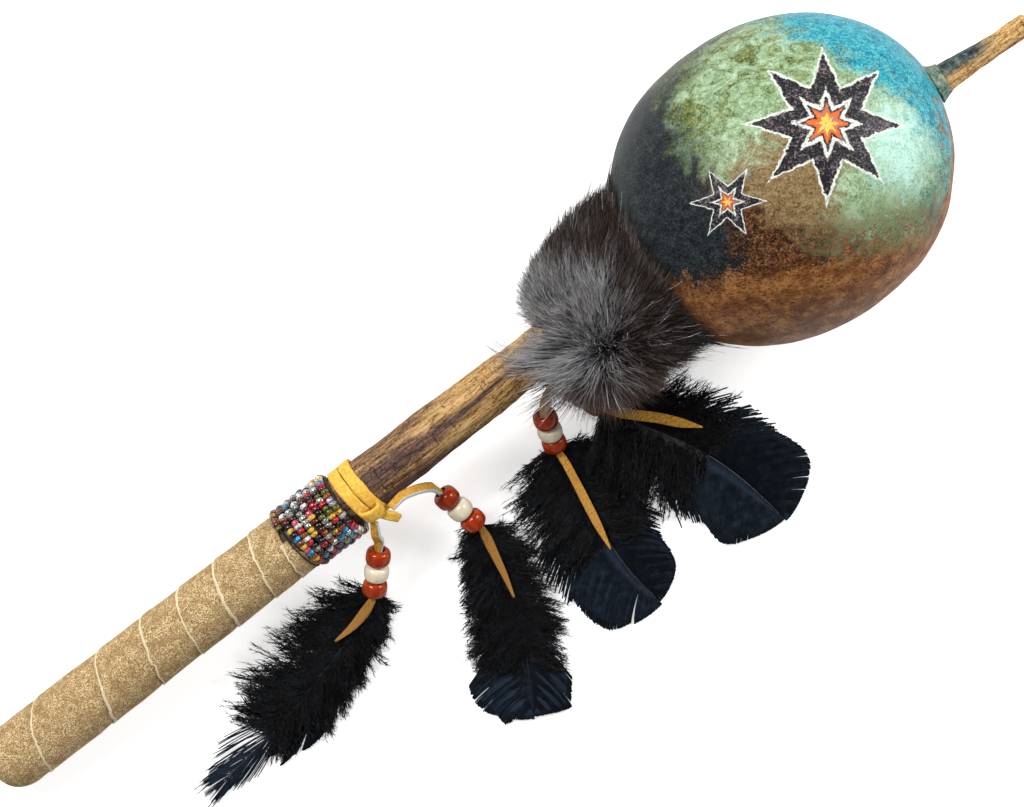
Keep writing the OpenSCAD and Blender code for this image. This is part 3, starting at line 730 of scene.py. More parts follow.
def fluff_on(paths, rng):
    """Short straight barbules along the barbs."""
    spot = rng.uniform(0.05, 1, (len(paths), BARBULES)) * (DOWN_KNOTS - 1.001)
    k = spot.astype(int)
    row = np.arange(len(paths))[:, None]
    onward = paths[row, k + 1] - paths[row, k]
    base = paths[row, k] + onward * (spot - k)[..., None]
    way = unit(rng.normal(size=base.shape) + 2.6 * unit(onward))
    fluff = np.stack([base, base + way * rng.uniform(1.6, 3.4, base.shape[:2])[..., None]], 2).reshape(-1, 2, 3)
    fluff[..., 2] = np.maximum(fluff[..., 2], TABLE_GAP)
    return fluff


def make_feathers(vane_skin, down, quill):
    made = {d: [] for d in DANGLES}
    for number, (name, kind) in enumerate(FEATHERS.items()):
        d = name.split("_")[1]
        i = DANGLES.index(d)
        rng = np.random.default_rng(FEATHER_SEED + number)
        start, way, up, side = bead_axes(i)
        in_bead = start - up * QUILL_IN_BORE + side * kind.quill
        root = [[*(in_bead + way * (STACK_LENGTH - s)), 1] for s in (5, 0)]
        line = [[*from_knot(i, p), p[3]] for p in kind.points]
        thick = np.linspace(0.62, 0.12, SHAFT_RINGS)
        shaft = sweep(smooth_curve(root + line, SHAFT_RINGS)[None, :, :3], UP, circle(8), thick, thick * 0.8)
        vane = Vane(root[1:] + line)
        barbs, sheen = smooth_barbs(vane, kind, rng)
        points, faces, which = joined(barbs, shaft)
        sheen = np.concatenate([sheen, np.zeros(len(shaft[0]))])
        made[d].append(piece(f"{name}_plume", points, faces, [vane_skin, quill], "feather_black", [name],
                             f"dangle_{d}", which, values={"sheen": sheen}))
        for k in range(DOWN_PIECES):
            paths = down_paths(vane, kind, rng)
            points, faces, _ = joined(sweep(paths, UP + 0.01, circle(3), DOWN_HALF, DOWN_HALF),
                                      sweep(fluff_on(paths, rng), UP + 0.013, circle(3), BARBULE_HALF, BARBULE_HALF))
            made[d].append(piece(f"{name}_down_{k + 1}", points, faces, [down], "feather_black", body=f"dangle_{d}"))
    return made


# Gourd: a shell with its two holes, a little out of round. Its paint is laid in layers of brush strokes.
PAINT_STOPS = (0.34, 0.45, 0.55, 0.68)
PAINTS = {
    "sage": ((84, 104, 66), (128, 152, 110), (146, 172, 130), (176, 196, 156)),
    "pale": ((138, 164, 128), (160, 188, 152), (176, 204, 172), (200, 220, 192)),
    "olive": ((40, 48, 28), (92, 104, 56), (122, 134, 76), (158, 168, 112)),
    "moss": ((22, 27, 22), (46, 54, 40), (78, 88, 58), (116, 128, 90)),
    "blue": ((6, 84, 108), (22, 134, 156), (54, 170, 186), (120, 202, 198)),
    "teal": ((46, 70, 54), (64, 130, 124), (104, 164, 146), (160, 192, 160)),
    # The pale mint is partly paint and partly a painted highlight
    "mint_and_highlight": ((146, 196, 174), (180, 224, 206), (196, 236, 222), (216, 246, 234)),
    "tan": ((78, 60, 36), (122, 98, 64), (144, 122, 84), (162, 146, 108)),
    "rust": ((16, 13, 12), (50, 38, 27), (110, 60, 34), (140, 126, 90)),
    "rusty": ((58, 46, 32), (112, 84, 56), (142, 116, 78), (160, 150, 112)),
    "night": ((12, 14, 17), (28, 33, 36), (40, 47, 50), (66, 73, 72)),
}
STAR_STOPS = (0.0, 0.13, 0.26, 0.33, 0.45, 0.9)
STAR_BANDS = ((244, 206, 88), (226, 104, 44), (24, 25, 29), (226, 230, 220), (26, 28, 34), (232, 238, 228))
OUTER_RINGS = 110
INNER_RINGS = 40
GOURD_SIDES = 192
# How far the belly leans to one side, and how much flatter and more askew the far end is
GOURD_LEAN = 1.2
GOURD_FLAT = 2.3
GOURD_ASKEW = 1.25


def gourd_look():
    look = Look("gourd_paint", IOR=1.2, Coat_Weight=0.06, Coat_Roughness=0.16, Coat_IOR=1.35)
    upright = {"Vector": look.place, "Rotation": (0, 0, -CAMERA_TURN)}
    look.place = look.put("ShaderNodeMapping", upright).outputs["Vector"]
    wash = look.noise(20, 8, 0.6, 0.9)
    patch = look.noise(9, 8, 0.66, 1.4)
    dab = look.noise(3.2, 8, 0.78, 0.35)
    stroke = look.wobbled(look.noise(0.75, 4, 0.75, 0.2), (dab, 0.75))
    low = look.wobbled(look.toward(0.205, -1.0, -0.104), (patch, 20), (stroke, 22))
    rim = look.wobbled(look.toward(0.72, -0.3, -0.62), (wash, 18), (patch, 16))

    def region(way, edge, soft, wobble):
        return look.step(look.wobbled(look.toward(*way), (wash, wobble), (patch, 20)), edge - soft, edge + soft)

    def spot(at, far, near, wobble):
        return look.step(look.wobbled(look.away(at), (patch, wobble)), far, near)

    layers = [
        ("pale", look.step(patch, 0.5, 0.62)),
        ("olive", look.times(look.step(patch, 0.49, 0.43), region((-0.6, 0.7, -0.3), 4, 14, 30))),
        ("moss", region((-0.85, 0.4, -0.3), 36, 5, 40)),
        ("teal", region((0.97, 0.25, -0.35), 30, 6, 50)),
        ("blue", region((0.62, 0.76, -0.06), 36, 6, 34)),
        ("olive", region((0.8, 0.55, -0.3), 55, 4, 40)),
        # The pale mint spot right of the top is partly paint and partly a painted highlight
        ("mint_and_highlight", look.times(spot((33, 8, 43), 22, 6, 30), 0.95)),
        ("rusty", look.times(region((0.85, -0.1, -0.5), 26, 6, 30), look.step(patch, 0.5, 0.57))),
        ("tan", spot((-5, -8, 55), 27, 12, 34)),
        ("rust", look.times(look.step(low, 10, 24), look.step(stroke, 0.45, 0.55))),
        ("rust", region((-0.45, -0.9, 0.05), 19, 6, 44)),
        ("night", region((-0.9, -0.35, 0.06), 31, 7, 30)),
    ]
    strokes = {name: look.ramp(stroke, PAINT_STOPS, *shades) for name, shades in PAINTS.items()}
    shade = strokes["sage"]
    for name, amount in layers:
        shade = look.mix(amount, shade, strokes[name])
    bare = look.math("MAXIMUM", look.step(low, 23, 32), look.step(rim, 23, 29))
    shade = look.mix(bare, shade, bare_skin(look))
    shade = star(look, shade, stroke, at=(9, 15), reach=28, notch=14, count=8)
    look.paint(star(look, shade, stroke, at=(-24, -11), reach=13, notch=5.5, count=6))
    look.rough(dab, 0.32, 0.5)
    look.bump(look.wobbled(look.noise(0.6, 3, 0.7), (dab, 0.8)), 0.12, 0.7)
    return look.material


def bare_skin(look):
    """The gourd's own brown skin, with dark specks."""
    skin = look.ramp(look.noise(6, 6, 0.65), (0.38, 0.5, 0.62), (112, 66, 32), (146, 94, 50), (182, 126, 74))
    speck = look.step(look.noise(0.7, 4, 0.7, 0.0, look.stretched(0.5, 1, 1)), 0.52, 0.6)
    return look.mix(speck, skin, (44, 26, 14), 0.85)


def star(look, ground, stroke, at, reach, notch, count):
    """A many-pointed star of plain bands, brushed over the ground."""
    where = look.put("ShaderNodeSeparateXYZ", {"Vector": look.place}).outputs
    x, y = (look.minus(look.times(where[k], 1 / MM), at[k]) for k in (0, 1))
    r = look.math("SQRT", look.plus(look.times(x, x), look.times(y, y)))
    wedge = 2 * math.pi / count
    turn = look.math("DIVIDE", look.math("ARCTAN2", y, x), wedge)
    fold = look.times(look.math("ABSOLUTE", look.minus(turn, look.math("ROUND", turn))), wedge)
    edge = unit(np.array([notch * math.sin(wedge / 2), reach - notch * math.cos(wedge / 2)]))
    across = look.plus(look.times(look.math("COSINE", fold), edge[0]), look.times(look.math("SINE", fold), edge[1]))
    level = look.math("DIVIDE", look.times(r, across), reach * edge[0])
    level = look.wobbled(level, (look.noise(2.4, 5, 0.65), 0.3), (stroke, 0.2))
    bands = look.ramp(level, STAR_STOPS, *STAR_BANDS)
    bands.node.color_ramp.interpolation = "CONSTANT"
    flecks = look.mix(look.step(stroke, 0.5, 0.64), bands, (146, 132, 134), 0.75)
    brushed = look.times(look.step(where[2], 0.0, 0.005), look.step(stroke, 0.3, 0.38))
    return look.mix(look.times(look.step(level, 1.0, 0.97), brushed), ground, flecks)


def egg(half, r, rings):
    """The outline of an egg, from its hole at the neck to its hole at the tip."""
    x = half * np.sin(np.linspace(-math.acos(NECK_HOLE_R / r), math.acos(EXIT_HOLE_R / r), rings))
    return np.stack([x, r * np.sqrt(1 - (x / half) ** 2)], -1)


def make_gourd(paint):
    inner = egg(GOURD_HALF - GOURD_WALL, GOURD_R - GOURD_WALL, INNER_RINGS)[::-1]
    points, faces = turned(np.concatenate([egg(GOURD_HALF, GOURD_R, OUTER_RINGS), inner]), GOURD_SIDES)
    outside = np.arange(len(points)) < OUTER_RINGS * GOURD_SIDES
    out = unit(points / [GOURD_HALF**2, GOURD_R**2, GOURD_R**2])
    points += out * ((0.35 * lumps(points, 60, 5) + 0.1 * lumps(points, 16, 6)) * outside)[:, None]
    points[:, 1] += GOURD_LEAN * (1 - (points[:, 0] / GOURD_HALF) ** 2)
    askew = 1 - GOURD_ASKEW * points[:, 1] / GOURD_R
    points[:, 0] -= GOURD_FLAT * rise(points[:, 0], 0, GOURD_HALF) ** 2 * askew
    world = on_gourd(points)
    world[:, 2] = np.maximum(world[:, 2], 0)
    piece("gourd", world - GOURD_CENTRE, faces, [paint], "gourd_paint", ["gourd_shell"],
          place=(GOURD_CENTRE, np.eye(3)))


# Stick
STICK_SIDES = 96
STICK_START = 1.5
WOOD_STOPS = (0.34, 0.46, 0.56, 0.7)


def wood_look():
    """Honey wood, with wear near the laces, dark below and in a streak on top, with cracks and a smear of paint."""
    look = Look("branch_wood", Specular_IOR_Level=0.3)
    grain = look.noise(0.8, 7, 0.65, 0.5, look.stretched(0.1, 1, 1))
    fleck = look.noise(0.55, 4, 0.7, 0.0, look.stretched(0.55, 1, 1))
    wander = look.noise(6, 6, 0.65, 0.8, look.stretched(0.14, 1, 1))
    crack = look.noise(1.3, 3, 0.5, 0.6, look.stretched(1.6, 0.35, 0.35))
    grain = look.wobbled(grain, (fleck, 0.9), (wander, 0.3))
    along = look.toward(1, 0, 0)
    honey = look.ramp(grain, WOOD_STOPS, (92, 58, 26), (184, 138, 78), (224, 180, 116), (236, 202, 142))
    wear_and_shade = look.ramp(grain, WOOD_STOPS, (62, 40, 24), (120, 86, 54), (160, 124, 84), (204, 170, 122))
    dark = look.ramp(grain, (0.34, 0.47, 0.57, 0.72), (38, 24, 22), (78, 55, 48), (106, 79, 66), (150, 118, 92))
    honey = look.mix(look.step(look.wobbled(along, (wander, 40)), 226, 190), honey, wear_and_shade)
    middle = look.math("ABSOLUTE", look.wobbled(look.toward(0, 1, 0), (wander, 8)))
    streak = look.step(look.plus(middle, look.toward(0.05, 0, 0)), 14.6, 11.6)
    streak = look.times(streak, look.step(look.toward(0, 0, 1), 0, 4))
    low = look.minus(look.wobbled(look.toward(0, -1, 0), (wander, 6)), look.toward(0.06, 0, 0))
    shade = look.mix(look.math("MAXIMUM", streak, look.step(low, -5.6, -3.2)), honey, dark)
    shade = look.mix(look.step(fleck, 0.57, 0.66), shade, (52, 33, 18), 0.55)
    split = look.times(look.step(crack, 0.6, 0.66), look.step(look.noise(14, 2), 0.46, 0.58))
    shade = look.mix(split, shade, (40, 26, 18), 0.85)
    smear = look.step(look.wobbled(look.toward(0.0837, 1, 0), (fleck, 9)), 22.4, 26)
    smear = look.times(smear, look.step(look.wobbled(along, (wander, 16)), 452, 440))
    paint = look.ramp(look.noise(2.2, 6, 0.7), (0.4, 0.5, 0.62), (24, 28, 30), (56, 78, 78), (112, 118, 106))
    look.paint(look.mix(look.times(smear, look.step(along, 400, 410)), shade, paint))
    look.rough(grain, 0.5, 0.75)
    look.bump(look.wobbled(grain, (fleck, 0.7), (split, -0.6)), 0.25, 0.8)
    return look.material


def make_stick(wood):
    to_neck = np.linspace(STICK_START, SHAFT_LENGTH - 4, 170)
    past = np.concatenate([np.linspace(-GOURD_HALF + 4, GOURD_HALF - 4, 24),
                           np.linspace(GOURD_HALF - 2, GOURD_HALF + TIP_LENGTH, 50)])
    centre = np.concatenate([on_grip(np.outer(to_neck, [1, 0, 0])), on_gourd(np.outer(past, [1, 0, 0]))])
    station = np.concatenate([to_neck, past + SHAFT_LENGTH + GOURD_HALF])
    leaves = SHAFT_LENGTH + 2 * GOURD_HALF
    end = leaves + TIP_LENGTH
    r = np.interp(station, [STICK_START, 2.2, 4, 7, 10, GRIP_LENGTH, GRIP_LENGTH + 0.5, TAPER_START, SHAFT_LENGTH,
                            leaves, end - TIP_ROUND, end - 0.8, end],
                  [2.5, 4.5, 8, 10.2, 10.9, 10.9, SHAFT_R, SHAFT_R, NECK_R, EXIT_R, TIP_R, TIP_R, TIP_R - 0.7])
    a = np.arange(STICK_SIDES)[:, None] * 2 * math.pi / STICK_SIDES
    ahead = unit(np.gradient(centre, axis=0))
    side = unit(np.cross(UP, ahead))
    out = side[:, None] * np.cos(a) + np.cross(ahead, side)[:, None] * np.sin(a)
    points = centre[:, None] + out * r[:, None, None]
    bare = rise(station, TAPER_START - 3, 4) * np.clip((end - station) / 3, 0, 1)
    drawn = points @ GRIP_AXES.T * [0.2, 1, 1]
    rough = 0.22 * lumps(drawn, 5, 11) + 0.12 * lumps(drawn, 1.8, 12) + 0.3 * lumps(points, 34, 13) - 0.25
    points += out * (rough * bare[:, None])[..., None]
    piece("branch", (points.reshape(-1, 3) - BUTT) @ GRIP_AXES.T, tube_faces(1, len(station), STICK_SIDES), [wood],
          "stick_wood", ["stick"], place=(BUTT, GRIP_AXES))


# Grip: a suede cover on the butt and a suede strip wound over it, each turn lapping the last
SEAMS = [-6, 19.9, 51.8, 73.7, 91.2, 108.2, 126, 137, 148]
STRIP_TURNS = (-0.42, 6.02)
STRIP_LAP = 1.4
STRIP_START = 9
STRIP_R = 12
# Round the strip's section: the share of its width, the height over the grip, and which faces are cut edges
STRIP_SHARE = np.array([0, 0, 0.1, 0.25, 0.5, 0.75, 0.9, 1.0, 1.0, 0.9, 0.5, 0.1, 0])
STRIP_LIFT = np.array([0.95, 1.5, 1.42, 1.3, 1.25, 1.22, 1.0, 0.72, 0.15, 0.15, 0.4, 0.8, 0.9])
STRIP_CUT = np.array([1, 1] + [0] * 10 + [1])
# How far the soft butt bulges past its solid
BUTT_OVER = 2.6
BUTT_ROUND = 9
COVER_R = 12.35
COVER_END = 28
SUEDE_OVER = 1.2
SUEDE_ASKEW = 2.3


def suede_end(angle):
    """Where the wound suede ends, further along on the side of the laces."""
    return GRIP_LENGTH + SUEDE_OVER + SUEDE_ASKEW * (1 - np.cos(np.radians(angle)))


def suede_look():
    look = Look("suede", Roughness=0.95, Specular_IOR_Level=0.1)
    nap = look.noise(0.45, 4, 0.7)
    shade = look.ramp(nap, (0.39, 0.47, 0.53, 0.61), (86, 64, 36), (168, 137, 90), (212, 181, 130), (248, 226, 184))
    look.paint(look.mix(look.step(look.noise(5, 8, 0.78), 0.44, 0.6), shade, (142, 112, 70), 0.62))
    look.bump(nap, 0.1)
    return look.material


def make_grip_strip(suede, cut):
    turn = np.linspace(*STRIP_TURNS, 640)
    angle = 90 - 360 * turn
    seam_turn = np.arange(len(SEAMS)) - 1
    first = np.interp(turn, seam_turn, SEAMS)
    last = np.interp(turn + 1, seam_turn, SEAMS)
    line = round_grip(first, STRIP_R, angle)
    ragged = lumps(line, 7, 31) + 0.6 * lumps(line, 2.4, 34)
    first = np.maximum(first + 0.24 * ragged, STRIP_START)
    last = np.minimum(last + STRIP_LAP, suede_end(angle) + 0.3 * ragged)
    cut_width = np.clip(0.75 + 0.35 * lumps(round_grip(first, STRIP_R, angle), 16, 32), 0.3, 1.2)
    station = first[:, None] + np.maximum(last - first, 0.4)[:, None] * STRIP_SHARE
    station[:, 2] = first + cut_width
    station[:, 3] = np.maximum(station[:, 3], station[:, 2] + 0.2)
    sag = 0.16 * lumps(round_grip(station, STRIP_R, angle[:, None]), 13, 33) * STRIP_SHARE * (1 - STRIP_SHARE) * 4
    points = round_grip(station, GRIP_R + 0.1 + STRIP_LIFT + sag * (STRIP_LIFT > 1), angle[:, None])
    which = np.concatenate([np.tile(STRIP_CUT, len(turn) - 1), [0, 0]])
    piece("grip_strip", points.reshape(-1, 3), tube_faces(1, *station.shape), [suede, cut], "grip_suede",
          ["grip_wrap"], which=which)


def make_butt_cover(suede):
    a = np.radians(np.arange(0, 91, 6))
    bulge = np.stack([0.05 - BUTT_OVER + (BUTT_ROUND + BUTT_OVER) * (1 - np.cos(a)),
                      3.45 + BUTT_ROUND * np.sin(a) ** 0.85], -1)
    skirt = [[s, COVER_R] for s in np.linspace(10, COVER_END, 10)]
    inner = [[COVER_END, 11.3], [10, 11.3], [4, 9], [1.4, 3], [1.4, 0.05]]
    shape, faces = turned(np.concatenate([[[-BUTT_OVER, 0.05]], bulge, skirt, inner]), 120)
    out_of_round(shape, 0.012, 16, 35, np.linalg.norm(shape[:, 1:], axis=1) > 11.5)
    world = on_grip(shape)
    world[:, 2] = np.maximum(world[:, 2], 0.02)
    piece("butt_cover", world, faces, [suede], "grip_suede", ["butt_cap"])


# Bead band: the name, colour, clearness and share of each kind of seed bead
SEED_COLOURS = [
    ("seed_clear", (242, 234, 216), 0.7, 4), ("seed_silver", (226, 226, 220), 0.0, 3),
    ("seed_black", (8, 7, 8), 0.0, 8), ("seed_red", (206, 18, 36), 0.2, 3),
    ("seed_ruby", (104, 8, 24), 0.3, 4), ("seed_blue", (24, 152, 208), 0.0, 5),
    ("seed_amber", (178, 92, 20), 0.4, 5), ("seed_olive", (118, 112, 22), 0.4, 4),
    ("seed_white", (250, 249, 244), 0.0, 3), ("seed_gold", (226, 178, 60), 0.2, 4),
    ("seed_pink", (226, 96, 124), 0.2, 1), ("seed_lavender", (206, 190, 222), 0.1, 1),
]
SEEDS_A_TURN = 44
SEED_HALF_LENGTH = 0.86
SEED_BORE_R = 0.42
SEED_WIDER = 1.1
# The least way from the end of the suede to a bead
SEED_CLEAR = 0.7
# The strand runs a little past the solid at both ends
STRAND_FIRST = -0.42
STRAND_LAST = STRAND_TURNS - STRAND_FIRST


def seed_look(name, shade, clear):
    look = Look(name, Transmission_Weight=clear, Coat_Weight=0.6, Coat_Roughness=0.04, IOR=1.5,
                Metallic=0.8 if name == "seed_silver" else 0.0)
    tint = np.array(shade)
    cloud = look.noise(1.1, 3, 0.5)
    look.paint(look.ramp(cloud, (0.36, 0.6), tint * 0.5, np.minimum(tint * 1.1, 250)))
    look.rough(cloud, 0.07, 0.2)
    return look.material


def seed_outline():
    a = np.radians([-80, -50, -20, 20, 50, 80])
    barrel = np.stack([SEED_HALF_LENGTH * np.sin(a), SEED_D / 2 - 0.45 + 0.6 * np.cos(a) ** 0.7], -1)
    mouth = 0.9 * SEED_HALF_LENGTH
    return np.concatenate([barrel, [[mouth, SEED_BORE_R], [-mouth, SEED_BORE_R]]])


def make_seeds():
    rng = np.random.default_rng(52)
    total = int((STRAND_LAST - STRAND_FIRST) * SEEDS_A_TURN)
    turn = STRAND_FIRST + (np.arange(total) + 0.5) / total * (STRAND_LAST - STRAND_FIRST)
    turn = turn[STRAND_START + STRAND_PITCH * turn > suede_end(360 * turn) + SEED_CLEAR]
    total = len(turn)
    station = STRAND_START + STRAND_PITCH * turn + rng.normal(0, 0.06, total)
    centre = round_grip(station, STRAND_R + rng.normal(0, 0.06, total), 360 * turn)
    out = out_of_grip(360 * turn)
    along = unit(np.cross(GRIP_AXES[0], out) + 0.04 * GRIP_AXES[0] + rng.normal(0, 0.05, (total, 3)))
    across = SEED_WIDER * unit(np.cross(out, along))
    size = rng.normal(1, 0.035, (total, 1, 1))
    bead, (faces,) = turned(seed_outline(), 14)
    points = centre[:, None] + size * (bead @ np.stack([along, out, across], 1))
    faces = (faces + np.arange(total)[:, None, None] * len(bead)).reshape(total, -1, 4)
    share = np.array([count for *_, count in SEED_COLOURS], float)
    which = np.repeat(rng.choice(len(share), total, p=share / share.sum()), faces.shape[1])
    piece("seed_beads", points.reshape(-1, 3), [faces.reshape(-1, 4)], [seed_look(*seed[:3]) for seed in SEED_COLOURS],
          "seed_glass", ["bead_strand"], which=which)


def make_bead_thread(thread):
    turn = np.linspace(STRAND_FIRST, STRAND_LAST, 400)
    line = round_grip(STRAND_START + STRAND_PITCH * turn, STRAND_R, 360 * turn)
    points, faces = sweep(line[None], out_of_grip(360 * turn)[None], circle(5), 0.3, 0.3)
    piece("bead_thread", points, faces, [thread], "band_leather")


def make_backing(leather):
    along = np.linspace(BAND_START, BAND_START + BAND_LENGTH, 40)
    outline = [[s, BACKING_R + BACKING_THICK] for s in along] + [[along[-1], BACKING_R], [along[0], BACKING_R]]
    shape, faces = turned(outline, 110)
    outside = np.linalg.norm(shape[:, 1:], axis=1) > BACKING_R + BACKING_THICK / 2
    shape[:, 1:] *= 1 + 0.014 * (np.maximum(lumps(shape, 3, 41), 0) * outside)[:, None]
    shape[:, 0] += 0.35 * lumps(shape * [0, 1, 1], 6, 42) * (np.abs(shape[:, 0] - along.mean()) > 12)
    piece("band_backing", shape, faces, [leather], "band_leather", ["bead_band_backing"], place=(BUTT, GRIP_AXES))


# Fur collar: hair that flows away from a parting, over the gourd's base and the stick
FUR_CENTRE = np.array([-72.0, 0, 0])
FUR_CORE = np.array([27.0, 24.0, 24.0])
FUR_PARTING = np.array([[-97.0, -21.0, 7.0], [-92.0, -22.0, 8.0]])
# The middle of the grey patch, its two directions, and how far it reaches forwards and backwards along each
FUR_GREY = np.array([-87.0, 3.0, 28.0])
GREY_LEFT, GREY_ABOVE = [-0.84, 0.54, 0], [0.54, 0.84, 0]
GREY_LEFT_REACH = (34, 19)
GREY_ABOVE_REACH = (16, 27)
# The ways of hair that hangs below and of hair that is swept along the stick
FUR_HANG = np.array([-0.3, -0.9, 0.2])
FUR_SWEPT = np.array([-1.2, 0.3, 0.0])
# Stations along the gourd's axis, and how far from it the hair reaches there on the two sides
FUR_STATIONS = [-112, -108, -102, -92.5, -84, -65.5, -52, -42, -32]
FUR_UPPER = [8, 14, 19, 24.5, 27.5, 31.5, 36, 44, 52]
FUR_LOWER = [28, 35, 41, 40, 38, 40.5, 43, 47, 53]
FUR_TUFTS = 520
FUR_PIECES = 8
GOURD_CLEAR = 1.012
STICK_CLEAR = 10.6
HIDE_BORE_R = 12.2


def fur_look():
    look = Look("fur", Roughness=0.55, Specular_IOR_Level=0.3)
    along = look.attribute("along")
    # Both ramps are darker at the roots: partly the underfur's own colour, partly painted shade deep in the fur
    grey = look.ramp(along, (0.0, 0.5, 0.85, 1.0), (90, 94, 100), (178, 181, 187), (192, 192, 194), (146, 140, 136))
    brown = look.ramp(along, (0.0, 0.4, 0.7, 1.0), (64, 58, 55), (94, 78, 65), (80, 58, 43), (40, 27, 19))
    shade = look.mix(look.attribute("tone"), grey, brown)
    look.paint(look.mix(look.step(look.toward(-0.5, -1.0, 0), 2, 16), shade, (112, 72, 56), 0.4))
    return look.material


def guard_look():
    look = Look("guard_hair", Roughness=0.4, Specular_IOR_Level=0.5)
    dark = look.ramp(look.attribute("along"), (0.0, 0.5, 1.0), (76, 70, 66), (58, 45, 38), (28, 21, 18))
    look.paint(look.mix(look.step(look.attribute("tone"), 0.92, 0.93), dark, (250, 250, 248)))
    return look.material


def hide_look():
    look = Look("fur_hide", Roughness=0.9)
    look.paint(look.ramp(look.noise(3, 5, 0.7), (0.3, 0.7), (36, 34, 34), (72, 70, 72)))
    look.bump(look.noise(1, 4), 0.4)
    return look.material


def in_gourd(points):
    """How far out points in the gourd's frame are, where its skin is at 1, and how far they are from its axis."""
    r = np.linalg.norm(points[..., 1:], axis=-1)
    return np.sqrt((points[..., 0] / GOURD_HALF) ** 2 + r**2 / GOURD_R**2), r


def outside_gourd(points):
    """Points in the gourd's frame, moved out of the gourd and the stick."""
    share, _ = in_gourd(points)
    points = points * np.where(share < GOURD_CLEAR, GOURD_CLEAR / np.maximum(share, 0.1), 1.0)[..., None]
    _, r = in_gourd(points)
    in_stick = (points[..., 0] < -GOURD_HALF) & (r < STICK_CLEAR)
    points[..., 1:] *= np.where(in_stick, STICK_CLEAR / np.maximum(r, 0.5), 1.0)[..., None]
    return points


def hair_roots(count, rng):
    """Roots on the core, clear of the gourd and the stick, and the ways out of it there."""
    root = unit(rng.normal(size=(count * 3, 3))) * FUR_CORE + FUR_CENTRE
    share, r = in_gourd(root)
    root = root[np.flatnonzero((share > 0.98) & (r > 9.5))[:count]]
    return root, unit((root - FUR_CENTRE) / FUR_CORE**2)


def hair_reach(root, way, bend, long, ease, rng):
    """Lengths cut back so that the tips end near the fur's outline, which ease lets out."""
    loose = (0.94 + 0.08 * lumps(root, 5, 58) + rng.uniform(-0.1, 0.18, len(root))) * ease
    best = 0.35 * long
    for share in np.linspace(0.35, 1, 9):
        tip = root + (share * long)[:, None] * (way + share * bend)
        low = np.clip(0.5 - tip[:, 1] / 16, 0, 1)
        upper, lower = (np.interp(tip[:, 0], FUR_STATIONS, reach) for reach in (FUR_UPPER, FUR_LOWER))
        inside = np.linalg.norm(tip[:, 1:], axis=1) < ((1 - low) * upper + low * lower) * loose
        best = np.where(inside, share * long, best)
    return best


def strands(count, knots, lengths, stray, rng):
    """Hair in the gourd's frame that flows away from the parting, and how much of it hangs."""
    root, out = hair_roots(count, rng)
    x, y, z = root.T
    run = FUR_PARTING[1] - FUR_PARTING[0]
    share = np.clip((root - FUR_PARTING[0]) @ run / (run @ run), 0, 1)[:, None]
    flow = root - FUR_PARTING[0] - share * run
    flow -= (flow * out).sum(1, keepdims=True) * out
    flow /= np.maximum(np.linalg.norm(flow, axis=1, keepdims=True), 4)
    clump = np.stack([lumps(root, 8, 60 + k) + 0.6 * lumps(root, 3.5, 64 + k) for k in range(3)], -1)
    hang = rise(-y, 7, 9) * rise(-x, 81, 7)
    swept = np.clip(1.3 - np.abs(y + 10) / 7, 0, 1) * rise(-x, 78, 10) * rise(z, -2, 6)
    on_gourd_side = rise(x, -68, 16)
    way = 0.7 * out + 0.7 * flow + 0.26 * clump + stray * rng.normal(size=out.shape)
    way = unit(way + (hang * (1 - swept))[:, None] * FUR_HANG + swept[:, None] * FUR_SWEPT)
    bend = 0.2 * flow - 0.1 * out + 0.3 * stray * rng.normal(size=out.shape)
    long = rng.uniform(*lengths, len(root)) * (1 + 0.5 * hang + 0.35 * swept + 0.3 * on_gourd_side)
    long = hair_reach(root, way, bend, long, 1 + 0.16 * hang, rng)[:, None, None]
    u = np.linspace(0, 1, knots)[None, :, None]
    return root[:, None] + long * (u * way[:, None] + u**2 * bend[:, None]), hang


TUFT_PATHS, _ = strands(FUR_TUFTS, 4, (15, 19), 0.3, np.random.default_rng(69))
TUFT_TONES = np.random.default_rng(68).normal(0, 0.16, FUR_TUFTS)


def hairs(count, knots, lengths, stray, gather, rng):
    """Strands drawn together in tufts, and how brown each is."""
    paths, hang = strands(count, knots, lengths, stray, rng)
    u = np.linspace(0, 1, knots)[None, :, None]
    tuft = np.argmin(((paths[:, None, 0] - TUFT_PATHS[None, :, 0]) ** 2).sum(-1), axis=1)
    pull = TUFT_PATHS[tuft, -1] - paths[:, -1]
    each = (len(paths), 1, 1)
    paths = paths + gather * rng.uniform(0.2, 1, each) * u**1.6 * pull[:, None]
    wave = np.sin(u * rng.uniform(3, 7, each) + rng.uniform(0, 6, each)) * u
    paths = outside_gourd(paths + 0.5 * wave * unit(rng.normal(size=(len(paths), 3)))[:, None])
    x, y, z = paths[:, -1].T
    on_stick = (x < -98) & (z > 4) & (np.abs(y) < 7)
    keep = ~on_stick | (rng.uniform(size=len(paths)) < 0.25)
    paths, hang, tuft = paths[keep], hang[keep], tuft[keep]
    away = paths[:, knots // 2] - FUR_GREY
    left, above = away @ GREY_LEFT, away @ GREY_ABOVE
    far = np.hypot(left / np.where(left > 0, *GREY_LEFT_REACH), above / np.where(above > 0, *GREY_ABOVE_REACH))
    tone = rise(far, 0.7, 0.55) - 0.5 * hang + TUFT_TONES[tuft]
    tone = np.clip(tone + rng.normal(0, 0.3, len(paths)) + (rng.uniform(size=len(paths)) < 0.18), 0, 1)
    return paths, tone


